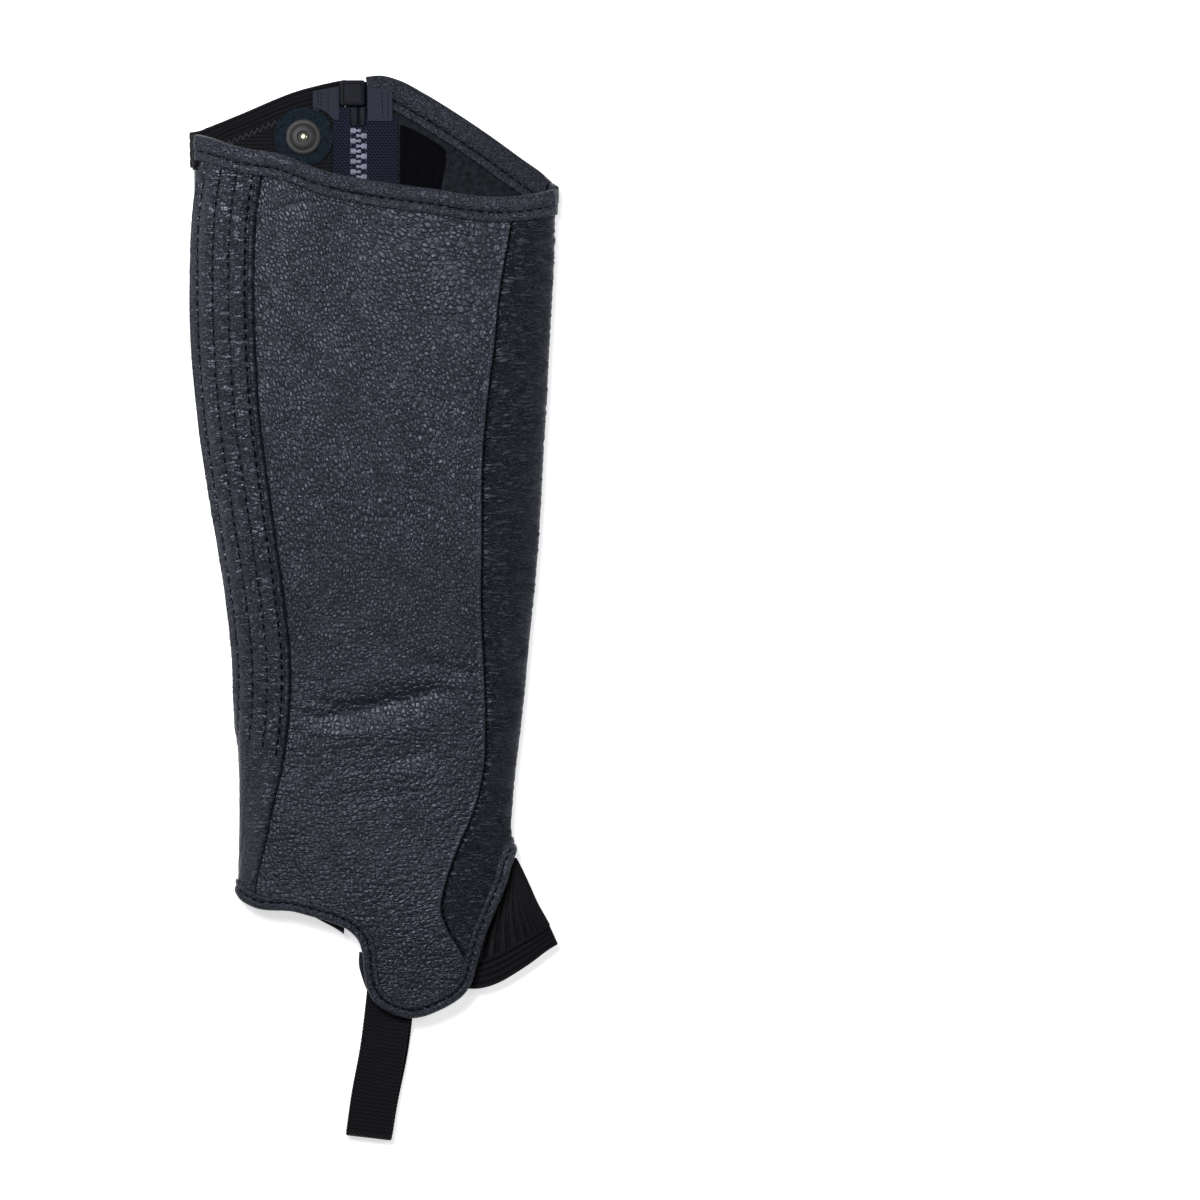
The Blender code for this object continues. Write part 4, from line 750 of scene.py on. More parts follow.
def panel_grid(foot, head, left, right, rows, settle, reach):
    """Pattern grid of a panel between two seams. A column starts straight up from its foot point, drifts over to its
    head point while y goes through the settle range, and follows the nearer seam by a weight that fades with reach."""
    t = np.linspace(0.0, 1.0, rows)[:, None]
    y = foot[:, 1] + (head[:, 1] - foot[:, 1]) * t
    drift = smooth_step(y, *settle)
    u = foot[:, 0] + (head[:, 0] - foot[:, 0]) * drift
    for seam, end, edge in ((left, 0, reach[0]), (right, -1, reach[1])):
        def pull(height):
            middle = foot[end, 0] + (head[end, 0] - foot[end, 0]) * smooth_step(height, *settle)
            return seam(height) - middle
        weight = np.clip((foot[:, 0] - edge) / (foot[end, 0] - edge), 0.0, 1.0) ** 1.2
        u = u + weight * (pull(y) - (1 - t) ** 8 * pull(foot[:, 1]) - t ** 8 * pull(head[:, 1]))
    return u, y


def belong(thing, node=None):
    """Puts a piece on the body of the chap, and hides the node that it stands for."""
    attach(thing, "chap")
    if node:
        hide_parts(node)
    return thing


def lay_sheet(thing, node):
    """Puts a cloth piece on the body of the chap, and hides the node that it stands for."""
    belong(thing, node)
    return thing


# ---- shader node groups ----

class Nodes:
    """Short calls for building a node tree."""

    def __init__(self, tree):
        self.tree = tree

    def add(self, kind, inputs=None, **settings):
        """A node, with inputs given as values or as sockets to link."""
        node = self.tree.nodes.new(kind)
        for key, value in settings.items():
            setattr(node, key, value)
        for key, value in (inputs or {}).items():
            socket = node.inputs[key]
            if isinstance(value, bpy.types.NodeSocket):
                self.tree.links.new(value, socket)
            else:
                socket.default_value = value
        return node

    def math(self, operation, a, b=0.5, c=0.0, clamp=False):
        """Output of a Math node."""
        return self.add("ShaderNodeMath", {0: a, 1: b, 2: c}, operation=operation, use_clamp=clamp).outputs[0]

    def vector(self, operation, a, b=(0.0, 0.0, 0.0), scale=None):
        """Output of a Vector Math node."""
        inputs = {0: a, 1: b}
        if scale is not None:
            inputs["Scale"] = scale
        return self.add("ShaderNodeVectorMath", inputs, operation=operation).outputs[0]

    def range(self, value, a, b, c=0.0, d=1.0):
        """Goes smoothly from c to d while the value goes from a to b."""
        return self.add(
            "ShaderNodeMapRange", {0: value, 1: a, 2: b, 3: c, 4: d}, interpolation_type="SMOOTHSTEP"
        ).outputs[0]

    def mix(self, factor, a, b):
        """A colour between a and b."""
        node = self.add("ShaderNodeMix", data_type="RGBA")
        for key, value in ((0, factor), (6, a), (7, b)):
            if isinstance(value, bpy.types.NodeSocket):
                self.tree.links.new(value, node.inputs[key])
            else:
                node.inputs[key].default_value = value if key == 0 else (*value[:3], 1.0)
        return node.outputs[2]

    def noise(self, vector, scale, detail=2.0, roughness=0.5):
        """A Noise Texture node."""
        return self.add(
            "ShaderNodeTexNoise", {"Vector": vector, "Scale": scale, "Detail": detail, "Roughness": roughness}
        )


def group(name, inputs, outputs, build):
    """A shader node group with named inputs and outputs. Build gets its nodes and its input sockets."""
    if name in bpy.data.node_groups:
        return bpy.data.node_groups[name]
    tree = bpy.data.node_groups.new(name, "ShaderNodeTree")
    for key, value in inputs.items():
        kind = "NodeSocketVector" if value is None else "NodeSocketFloat"
        socket = tree.interface.new_socket(key, in_out="INPUT", socket_type=kind)
        if value is not None:
            socket.default_value = value
    for key in outputs:
        tree.interface.new_socket(key, in_out="OUTPUT", socket_type="NodeSocketFloat")
    nodes = Nodes(tree)
    source = nodes.add("NodeGroupInput")
    result = build(nodes, source.outputs)
    sink = nodes.add("NodeGroupOutput")
    for key, value in zip(outputs, result):
        tree.links.new(value, sink.inputs[key])
    return tree


def pebble_grain(n, s):
    """Pebbles: a dome over the middle of each warped cell, narrow valleys at its walls, fine skin lines on top."""
    warp = n.vector("SUBTRACT", n.noise(s["Vector"], 240.0, 2.0).outputs[1], (0.5, 0.5, 0.5))
    warped = n.vector("ADD", s["Vector"], n.vector("SCALE", warp, scale=0.0012))
    cell = {"Vector": warped, "Scale": s["Scale"], "Randomness": 0.8}
    near = n.add("ShaderNodeTexVoronoi", cell)
    edge = n.add("ShaderNodeTexVoronoi", cell, feature="DISTANCE_TO_EDGE")
    dome = n.math("SUBTRACT", 1.0, n.math("POWER", n.math("MULTIPLY", near.outputs["Distance"], 1.25), 2.0))
    wall = n.range(edge.outputs["Distance"], 0.0, 0.22)
    finer = {"Vector": warped, "Scale": n.math("MULTIPLY", s["Scale"], 2.3)}
    small = n.add("ShaderNodeTexVoronoi", finer, feature="DISTANCE_TO_EDGE")
    skin = n.range(small.outputs["Distance"], 0.0, 0.3)
    patchy = n.range(n.noise(s["Vector"], 60.0, 3.0).outputs[0], 0.3, 0.7, 0.7, 1.0)
    raised = n.math("MULTIPLY_ADD", wall, 0.5, n.math("MULTIPLY_ADD", skin, 0.10, n.math("MULTIPLY", dome, 0.32)))
    # Wall shapes the relief, and the leather's colour also uses it as the mask of painted shade in the walls.
    return n.math("MULTIPLY", raised, patchy), wall


def fine_wrinkle(n, s):
    """Short lines that run across a strip: noise drawn out along one axis and folded at its middle value."""
    scales = n.add("ShaderNodeCombineXYZ", {0: s["Across"], 1: s["Along"], 2: 1.0})
    drawn = n.vector("MULTIPLY", s["Vector"], scales.outputs[0])
    first = n.noise(drawn, 1.0, 3.0, 0.6).outputs[0]
    ridge = n.math("ABSOLUTE", n.math("SUBTRACT", first, 0.5))
    line = n.range(ridge, 0.0, 0.10)
    second = n.noise(drawn, 2.6, 2.0).outputs[0]
    return n.math("ADD", n.math("MULTIPLY", line, 0.75), n.math("MULTIPLY", second, 0.4)), line


def rib_weave(n, s):
    """Threads: rounded ribs along one axis crossed by finer picks, both from sines of the position."""
    split = n.add("ShaderNodeSeparateXYZ", {0: s["Vector"]})
    across = n.math("ADD", split.outputs[0], n.math("MULTIPLY", split.outputs[1], s["Slant"]))
    rib = n.math("SINE", n.math("MULTIPLY", across, s["Ribs"]))
    pick = n.math("SINE", n.math("ADD", n.math("MULTIPLY", split.outputs[1], s["Picks"]), n.math("MULTIPLY", rib, 0.8)))
    height = n.math("MULTIPLY_ADD", rib, 0.5, n.math("MULTIPLY_ADD", pick, 0.3, 0.5))
    fuzz = n.noise(s["Vector"], 1600.0, 2.0).outputs[0]
    return n.math("ADD", height, n.math("MULTIPLY", fuzz, 0.35)), fuzz


def nap(n, s):
    """Suede nap: soft clumps with fine fibres."""
    clump = n.noise(s["Vector"], n.math("MULTIPLY", s["Scale"], 0.35), 3.0, 0.6).outputs[0]
    fibre = n.noise(s["Vector"], n.math("MULTIPLY", s["Scale"], 2.2), 3.0, 0.7).outputs[0]
    return n.math("ADD", n.math("MULTIPLY", clump, 0.6), n.math("MULTIPLY", fibre, 0.5)), clump


def handling(n, s):
    """Slow change of gloss and tone from handling, with a few fine dust specks."""
    slow = n.noise(s["Vector"], 11.0, 4.0, 0.55).outputs[0]
    cells = n.add("ShaderNodeTexVoronoi", {"Vector": s["Vector"], "Scale": 85.0, "Randomness": 1.0})
    speck = n.math("LESS_THAN", cells.outputs["Distance"], 0.022)
    rare = n.math("GREATER_THAN", n.noise(s["Vector"], 55.0, 1.0).outputs[0], 0.62)
    return n.range(slow, 0.3, 0.7), n.math("MULTIPLY", speck, rare)


def shader(name):
    """A new material, its nodes and its Principled BSDF."""
    made = bpy.data.materials.new(name)
    made.use_nodes = True
    made.node_tree.nodes.clear()
    nodes = Nodes(made.node_tree)
    surface = nodes.add("ShaderNodeBsdfPrincipled")
    out = nodes.add("ShaderNodeOutputMaterial")
    made.node_tree.links.new(surface.outputs[0], out.inputs[0])
    return made, nodes, surface


def use(nodes, tree, **inputs):
    """The outputs of a node group used in a material."""
    node = nodes.add("ShaderNodeGroup", node_tree=tree)
    for key, value in inputs.items():
        if isinstance(value, bpy.types.NodeSocket):
            nodes.tree.links.new(value, node.inputs[key])
        else:
            node.inputs[key].default_value = value
    return node.outputs


def place_of(nodes, patterned=True):
    """Pattern position of the surface, as metres on the cut, or the object's own coordinates."""
    if patterned:
        return nodes.add("ShaderNodeUVMap", uv_map="pattern").outputs[0]
    return nodes.add("ShaderNodeTexCoord").outputs["Object"]


def bump(nodes, surface, height, strength, distance):
    """Feeds a height through a Bump node to the surface's normal."""
    made = nodes.add("ShaderNodeBump", {"Height": height, "Strength": strength, "Distance": distance})
    nodes.tree.links.new(made.outputs[0], surface.inputs["Normal"])


def set_plain(surface, **values):
    """Sets sockets by name, with _ for a space."""
    for key, value in values.items():
        surface.inputs[key.replace("_", " ")].default_value = value


def shade(colour, factor):
    """A colour made darker or lighter."""
    return tuple(c * factor for c in colour)


GRAIN_INPUTS = {"Vector": None, "Scale": 430.0}
WRINKLE_INPUTS = {"Vector": None, "Across": 90.0, "Along": 520.0}
WEAVE_INPUTS = {"Vector": None, "Ribs": 9000.0, "Picks": 12000.0, "Slant": 0.0}
PLACE_INPUT = {"Vector": None}
NAP_INPUTS = {"Vector": None, "Scale": 900.0}


def leather_finish(name, colour, grain=1.0, wrinkle=0.25, scale=430.0, rough=0.40, across=90.0, along=520.0, shine=0.4):
    """Grained leather. Attribute smooth fades the pebbles, and fine lines take their place. Its colour holds painted
    shade in the pebbles' walls and along the fine lines, and lighter pebble tops.
    """
    made, n, surface = shader(name)
    at = place_of(n)
    smooth = n.add("ShaderNodeAttribute", attribute_name="smooth").outputs["Fac"]
    pebble = use(n, group("Pebble grain", GRAIN_INPUTS, ("Height", "Wall"), pebble_grain), Vector=at, Scale=scale)
    wrinkles = group("Fine wrinkle", WRINKLE_INPUTS, ("Height", "Line"), fine_wrinkle)
    line = use(n, wrinkles, Vector=at, Across=across, Along=along)
    worn = use(n, group("Handling", PLACE_INPUT, ("Gloss", "Dust"), handling), Vector=place_of(n, False))
    kept = n.math("MULTIPLY", n.math("SUBTRACT", 1.0, smooth), grain)
    height = n.math("MULTIPLY", pebble["Height"], kept)
    height = n.math("MULTIPLY_ADD", line["Height"], n.math("MULTIPLY_ADD", smooth, 0.5, wrinkle), height)
    # Painted shade and light: the colour falls to 0.08 of itself in the pebbles' walls and rises to 1.2 on their tops.
    crease_shade = n.mix(pebble["Wall"], shade(colour, 0.08), shade(colour, 1.2))
    # Painted shade along the fine wrinkle lines: half the colour in their creases.
    base = n.mix(kept, n.mix(line["Line"], shade(colour, 0.5), colour), crease_shade)
    base = n.mix(n.math("MULTIPLY", worn["Gloss"], 0.3), base, shade(colour, 1.4))
    base = n.mix(worn["Dust"], base, (0.16, 0.17, 0.19))
    n.tree.links.new(base, surface.inputs["Base Color"])
    gloss = n.math("MULTIPLY_ADD", worn["Gloss"], -0.10, rough + 0.10)
    gloss = n.math("SUBTRACT", gloss, n.math("MULTIPLY", n.math("MULTIPLY", pebble["Wall"], kept), 0.10))
    n.tree.links.new(gloss, surface.inputs["Roughness"])
    set_plain(surface, Specular_IOR_Level=shine, Specular_Tint=(0.78, 0.84, 1.0, 1.0))
    bump(n, surface, height, 1.0, 0.0006)
    return made


def weave_finish(name, colour, ribs, picks, slant=0.0, depth=0.0003, rough=0.8, light=2.4, sheen=0.03):
    """Woven or knitted cloth: ribs and picks, with painted shade between the threads and lighter thread tops, and loose
    fuzz.
    """
    made, n, surface = shader(name)
    at = place_of(n)
    weave = group("Rib weave", WEAVE_INPUTS, ("Height", "Fuzz"), rib_weave)
    cloth = use(n, weave, Vector=at, Ribs=ribs, Picks=picks, Slant=slant)
    worn = use(n, group("Handling", PLACE_INPUT, ("Gloss", "Dust"), handling), Vector=place_of(n, False))
    # Painted shade and light by thread height: 0.3 of the colour between the threads, light times the colour on their
    # tops.
    base = n.mix(n.range(cloth["Height"], 0.1, 1.2), shade(colour, 0.3), shade(colour, light))
    base = n.mix(n.math("MULTIPLY", worn["Gloss"], 0.4), base, shade(colour, 1.5))
    base = n.mix(worn["Dust"], base, (0.12, 0.12, 0.13))
    n.tree.links.new(base, surface.inputs["Base Color"])
    n.tree.links.new(n.math("MULTIPLY_ADD", cloth["Fuzz"], 0.1, rough - 0.05), surface.inputs["Roughness"])
    set_plain(surface, Specular_IOR_Level=0.12, Sheen_Weight=sheen, Sheen_Roughness=0.5)
    bump(n, surface, cloth["Height"], 0.8, depth)
    return made


def suede_finish(name, colour, light, scale=900.0, patterned=True):
    """Napped flesh side: clumps of darker and lighter fibres."""
    made, n, surface = shader(name)
    at = place_of(n, patterned)
    pile = use(n, group("Nap", NAP_INPUTS, ("Height", "Clump"), nap), Vector=at, Scale=scale)
    base = n.mix(n.range(pile["Height"], 0.35, 0.75), shade(colour, 0.5), light)
    n.tree.links.new(base, surface.inputs["Base Color"])
    n.tree.links.new(n.math("MULTIPLY_ADD", pile["Clump"], 0.1, 0.85), surface.inputs["Roughness"])
    set_plain(surface, Specular_IOR_Level=0.07, Sheen_Weight=0.01)
    bump(n, surface, pile["Height"], 0.6, 0.0003)
    return made


def hard_finish(name, colour, rough, metallic=0.0, grit=0.00004, shine=0.22):
    """Moulded plastic or coated metal: fine grit, slow change of gloss and lighter rubbed places."""
    made, n, surface = shader(name)
    at = place_of(n, False)
    fine = n.noise(at, 1500.0, 3.0).outputs[0]
    worn = use(n, group("Handling", PLACE_INPUT, ("Gloss", "Dust"), handling), Vector=n.vector("SCALE", at, scale=6.0))
    base = n.mix(worn["Gloss"], shade(colour, 0.8), shade(colour, 1.25))
    n.tree.links.new(base, surface.inputs["Base Color"])
    n.tree.links.new(n.math("MULTIPLY_ADD", fine, 0.2, rough - 0.1), surface.inputs["Roughness"])
    set_plain(surface, Metallic=metallic, Specular_IOR_Level=shine)
    bump(n, surface, fine, 0.6, grit)
    return made


FINISHES = {}


def finishes():
    """All finishes, made once from the sizes and colours in the scene's settings."""
    if FINISHES:
        return FINISHES
    look = bpy.context.scene.half_chap
    leather, elastic = tuple(look.leather_colour), tuple(look.elastic_colour)
    grain = 1.0 / (look.grain_size * MM)
    f = FINISHES
    f["leather"] = leather_finish("Pebbled leather", leather, 1.0, 0.09, grain, 0.37, shine=0.55)
    f["strip"] = leather_finish("Stretched leather strip", leather, 0.5, 1.5, grain, 0.35, 150.0, 460.0, 0.95)
    # The shin leather is the same leather at 0.7 of its colour: painted shade for the face that slopes away from the
    # key light.
    f["shin"] = leather_finish("Shin leather in painted shade", shade(leather, 0.7), 0.25, 2.3, grain, 0.40, 110.0, 420.0, 0.6)
    f["edging"] = leather_finish("Leather edging", shade(leather, 0.9), 0.6, 0.7, grain * 1.1, 0.36, 220.0, 220.0, 0.6)
    f["facing"] = leather_finish("Leather facing", shade(leather, 0.8), 0.6, 0.4, grain, 0.45, 200.0, 200.0, 0.36)
    f["suede"] = suede_finish("Suede side", (0.0075, 0.009, 0.012), (0.020, 0.024, 0.028))
    f["band"] = weave_finish("Elastic band", elastic, 2400.0, 7600.0, 0.0, 0.0004)
    f["stretch"] = weave_finish("Stretch cloth", elastic, 3200.0, 5200.0, 0.0, 0.0003)
    f["fan"] = weave_finish("Gusset cloth", shade(elastic, 1.1), 9000.0, 9000.0, 0.0, 0.00012, 0.42, 1.8)
    f["strap"] = weave_finish("Foot elastic", shade(elastic, 0.75), 3400.0, 3000.0, 0.85, 0.0008, 0.7, 5.5)
    f["tape"] = weave_finish("Zip tape", (0.0030, 0.0038, 0.0078), 3300.0, 4300.0, 0.8, 0.0010, 0.75, 8.0)
    f["satin"] = weave_finish("Satin patch", (0.016, 0.019, 0.033), 16000.0, 9000.0, 0.0, 0.00006, 0.5, 1.6, 0.1)
    f["guard"] = suede_finish("Guard patch", (0.0006, 0.0006, 0.0012), (0.0022, 0.0022, 0.0045), 1500.0, False)
    f["patch"] = suede_finish("Snap patch", (0.006, 0.011, 0.018), (0.014, 0.022, 0.032), 1400.0, False)
    f["thread"] = hard_finish("Black thread", (0.0015, 0.0015, 0.0025), 0.7, 0.0, 0.00005, 0.04)
    f["grey_thread"] = hard_finish("Dark grey thread", (0.030, 0.032, 0.042), 0.7, 0.0, 0.00005)
    f["pale_thread"] = hard_finish("Grey thread", (0.10, 0.11, 0.15), 0.7, 0.0, 0.00005)
    f["teeth"] = hard_finish("Moulded teeth", (0.19, 0.185, 0.255), 0.42)
    f["hard"] = hard_finish("Moulded black", (0.0055, 0.006, 0.0105), 0.5, 0.0, 0.00004, 0.09)
    f["slider"] = hard_finish("Coated slider", (0.020, 0.020, 0.022), 0.38, 0.5)
    f["metal"] = hard_finish("Snap metal", (0.034, 0.034, 0.034), 0.5, 0.25)
    f["brass"] = hard_finish("Snap eye", (0.62, 0.56, 0.42), 0.25, 0.9)
    return f


# ---- leather panels ----

def grain_map(u, y):
    """Pattern position for the grain: sheared and drawn out up the leg, so pebbles lean and lengthen there."""
    lean = 0.26 * (y - 60.0) * smooth_step(y, -40.0, 160.0) * smooth_step(u, 90.0, -10.0)
    large = 1.0 - 0.28 * smooth_step(y, 40.0, -120.0)
    long = 0.92 - 0.26 * smooth_step(y, -60.0, 90.0)
    bend = 1.5 * mottle(u, y, 3, 46.0)
    return u * large + lean + bend, y * long * large + 1.5 * mottle(u, y, 4, 52.0)


def seam_roll(distance, width=1.5, drop=0.75):
    """How far a face falls away beside a seam."""
    return drop * np.clip(1 - distance / width, 0.0, 1.0) ** 2


def under_binding(y, low, high, foot_width, head_width):
    """1 on the open face and 0 where a binding covers it."""
    foot = smooth_step(y - low, foot_width - 2.0, foot_width + 2.5)
    return foot * smooth_step(high - y, head_width - 2.0, head_width + 2.5)


def soft_undulation(u, y, size=1.0):
    """Slow unevenness of laid leather, in millimetres."""
    return size * (0.22 * mottle(u, y, 11, 60.0) + 0.10 * mottle(u, y, 12, 24.0) + 0.05 * mottle(u, y, 13, 9.0))


def build_centre(f):
    """Grid between the back seam and the shin seam; a face point is the tube's point less seam rolls and creases."""
    def left(y):
        return back_seam(y) + GAP / 2

    def right(y):
        return shin_seam(y) - GAP / 2

    count = 128
    foot = resample(crossing(crossing(HEM_BY_U, left)[1], right)[0], count)
    turns = np.linspace(1.87, -0.2, 900)
    top = ordered(mouth_line(turns, EDGE_INSET))
    head = resample(crossing(crossing(top, left)[1], right)[0], count)
    u, y = panel_grid(foot, head, left, right, 330, (-160.0, -50.0), (-14.0, 16.0))
    x = LEG.over(u, y)[..., 0]
    cover = under_binding(y, foot[:, 1], head[:, 1], 5.8, 13.0)
    ridge_at = right(y) - u
    ridge = 0.35 * np.exp(-(((ridge_at - 1.5) / 0.95) ** 2)) * smooth_step(y, -176.0, -150.0)
    drop = seam_roll(u - left(y), 1.7, 1.0) + seam_roll(ridge_at, 0.9, 1.1) - ridge
    drop = drop + (line_drop(CREASES, x, y) - soft_undulation(u, y)) * cover
    outer = LEG.over(u, y, drop)
    inner = LEG.over(u, y, LEATHER)
    plain = np.maximum(np.exp(-((ridge_at / 2.6) ** 4)), 0.3 * smooth_step(y, 10.0, -110.0))
    gu, gy = grain_map(u, y)
    thing = shell("inner_leg_leather", outer, inner, [f["leather"], f["suede"]], (gu, gy), {"smooth": plain})
    return lay_sheet(thing, "centre_panel")


def build_shin(f):
    """Grid from the shin seam round the shin fold to the seam under the leg."""
    def left(y):
        return shin_seam(y) + GAP / 2

    def right(y):
        return under_seam(y) + 0.1

    count = 76
    foot = resample(crossing(crossing(HEM_BY_U, left)[1], right)[0], count)
    lower = LEG.joined(outer_mouth + EDGE_INSET * outer_mouth_inward)[::-1]
    top = np.concatenate([ordered(mouth_line(np.linspace(1.0, -0.4, 600), EDGE_INSET)), lower])
    top = top[np.concatenate([[True], np.diff(np.maximum.accumulate(top[:, 0])) > 1e-6])]
    head = resample(crossing(crossing(top, left)[1], right)[0], count)
    u, y = panel_grid(foot, head, left, right, 430, (-126.0, -40.0), (foot[0, 0] + 26.0, foot[-1, 0] - 24.0))
    x = LEG.over(u, y)[..., 0]
    turn = LEG.turn_over(u, y)
    cover = under_binding(y, foot[:, 1], head[:, 1], 5.8, 13.0)
    beside = u - left(y)
    across = waves(y + 2.4 * mottle(u, y, 21, 16.0), 5, 7, 2.9, 6.0) * 0.85 * smooth_step(turn, -1.0, 0.0)
    across = across * (0.55 + 0.45 * mottle(u, y, 22, 12.0))
    pinch = 0.5 * np.exp(-((beside / 2.6) ** 2)) * waves(y, 6, 6, 2.6, 4.4)
    drop = seam_roll(beside, 1.9, 1.3) + seam_roll(right(y) - u, 1.2, 0.6)
    drop = drop + (line_drop(CREASES, x, y) * (turn > 0) - soft_undulation(u, y, 0.8) - across - pinch) * cover
    thing = shell(
        "shin_leather", LEG.over(u, y, drop), LEG.over(u, y, LEATHER), [f["shin"], f["suede"]], (u, y),
        {"smooth": 0.25 + 0.35 * np.exp(-((beside / 2.0) ** 2))},
    )
    return lay_sheet(thing, "shin_panel")


def squeeze(y):
    """How far the stretched rows draw together at heights y."""
    (low_y, low), (high_y, high) = ROW_SQUEEZE
    return low + (high - low) * np.clip((y - low_y) / (high_y - low_y), 0.0, 1.0)


def strip_line(distance, y):
    """Pattern line at a distance from the back seam, towards the back."""
    return back_seam(y) - GAP / 2 - distance * squeeze(y)


def strip_relief(distance, u, y, low, high):
    """Raised welt beside the seam, puffed channels between the stitch rows, with pinched cross wrinkles."""
    welt = 0.55 * np.exp(-(((distance - 1.25) / 0.85) ** 2)) - seam_roll(distance, 0.5, 0.6)
    phase = (distance - ROW_FIRST) / ROW_PITCH
    channel = np.abs(np.sin(np.pi * phase)) ** 0.45
    last = ROW_FIRST + ROW_COUNT * ROW_PITCH
    within = (distance > ROW_FIRST) & (distance < last - ROW_PITCH * 0.5)
    fade = smooth_step(y, *ROW_FADE)
    tight = 0.45 + 0.55 * smooth_step(y, 120.0, 20.0)
    lane = np.floor(phase)
    cross = 0.6 * waves(y + 1.5 * mottle(distance * 3, y, 31, 16.0) + 11.3 * lane, 32, 5, 2.7, 5.0)
    edge = smooth_step(distance, ROW_FIRST + 26.0, ROW_FIRST + 31.0)
    puff = CHANNEL_RISE * np.where(within, channel, 0.0) * fade
    wrinkle = cross * tight * np.where(within, channel, 0.5) * fade * smooth_step(distance, 2.8, 4.4)
    long = 0.34 * waves(distance + 1.5 * mottle(u, y, 34, 30.0), 35, 4, 2.4, 5.0)
    long = long * (1 - fade) * smooth_step(distance, 10.0, 14.0)
    plain = WELT_RISE * smooth_step(distance, last - 7.0, last - 4.0) * fade * 0.6
    relief = welt + puff + wrinkle + long + plain * (1 - 0.3 * edge)
    return relief * smooth_step(y - low, 6.5, 11.0) * smooth_step(high - y, 12.5, 17.5)


def strip_foot(u):
    """Height of the hem at pattern positions u."""
    return np.interp(u, HEM_BY_U[:, 0], HEM_BY_U[:, 1])


def strip_grid():
    """Distances from the seam by rows up the strip, with the notch where the elastic band begins."""
    distance = np.concatenate([
        np.linspace(0, 2.8, 8), np.linspace(2.8, STRIP_NOTCH, 62)[1:], [STRIP_NOTCH + 0.6],
        np.linspace(STRIP_NOTCH + 1.2, STRIP_WIDTH, 14),
    ])
    y = np.full((440, len(distance)), 50.0)
    share = np.linspace(0, 1, len(y))[:, None]
    for _ in range(ROUNDS):
        u = strip_line(distance, y)
        x = LEG.over(u[-1], y[-1])[..., 0]
        high = np.where(distance > STRIP_NOTCH, STRIP_NOTCH_Y, upper_top(x) - EDGE_INSET)
        low = strip_foot(u[0])
        y = low + (high - low) * share
    return distance, strip_line(distance, y), y, low, high


def build_strip(f):
    """Grid from the back seam round the back fold to the free edge; the face is lifted by the relief."""
    distance, u, y, low, high = strip_grid()
    relief = strip_relief(distance, u, y, low, high)
    outer = LEG.over(u, y, -relief)
    inner = LEG.over(u, y, LEATHER)
    smooth = np.maximum(np.exp(-(((distance - 1.2) / 1.4) ** 4)), 0.7 * smooth_step(y, -60.0, -110.0))
    row = np.abs((distance - ROW_FIRST + ROW_PITCH / 2) % ROW_PITCH - ROW_PITCH / 2)
    smooth = np.maximum(smooth, 0.5 * np.exp(-((row / 1.2) ** 2)) * smooth_step(y, *ROW_FADE))
    thing = shell("back_strip_leather", outer, inner, [f["strip"], f["suede"]], (u, y * 0.9), {"smooth": smooth})
    lay_sheet(thing, "stretch_strip")
    rows = []
    for k in range(ROW_COUNT):
        at = ROW_FIRST + k * ROW_PITCH
        heights = np.arange(-80.0 + 4 * k, 229.0 + 3 * k, 1.0)
        if k == 3:
            heights = heights[heights < 227.0]
        line = np.stack([strip_line(at, heights), heights], axis=-1)
        rows.append(surface_row(LEG.over, line, -0.05, 5.6))
    sewn = stitches("strip_stitches", rows, f["thread"], 0.62, 0.62)
    belong(sewn)
    return thing


def build_outer_front(f):
    """Grid in front of the zip, from the tab's hem to the mouth. Its grain side lies on the floor."""
    def left(y):
        return ZIP_X + OPEN_HALF - 5.5 * (1 - smooth_step(y, -181.0, -178.5))

    def right(y):
        return under_seam_x(y) + 0.1

    count = 64
    foot = resample(crossing(front_hem_edge, right)[0], count)
    edge = outer_mouth + EDGE_INSET * outer_mouth_inward
    edge = edge[edge[:, 0] > ZIP_X + OPEN_HALF]
    edge[0, 0] = ZIP_X + OPEN_HALF
    head = resample(crossing(edge, right)[0], count)
    u, y = panel_grid(foot, head, left, right, 200, (-150.0, -30.0), (24.0, 12.0))
    drop = seam_roll(right(y) - u, 1.2, 0.6) - 0.0 * u
    inner_relief = 0.10 * mottle(u, y, 41, 22.0) + 0.14 * mottle(u, y, 42, 50.0)
    outer = LEG.below(u, y, drop)
    inner = LEG.below(u, y, LEATHER + np.clip(inner_relief, -0.2, 0.2) * smooth_step(head[:, 1] - y, 14.0, 20.0))
    thing = shell("zip_side_front_leather", outer, inner, [f["leather"], f["suede"]], (u, y), {"smooth": 0.1})
    return lay_sheet(thing, "outer_front_panel")


def band_width(x):
    """Height of the elastic band, which is taller where it wraps the back fold."""
    return BAND_WIDTH + (BAND_WIDTH_AT_FOLD - BAND_WIDTH) * (1 - smooth_step(x, -93.0, -78.0))


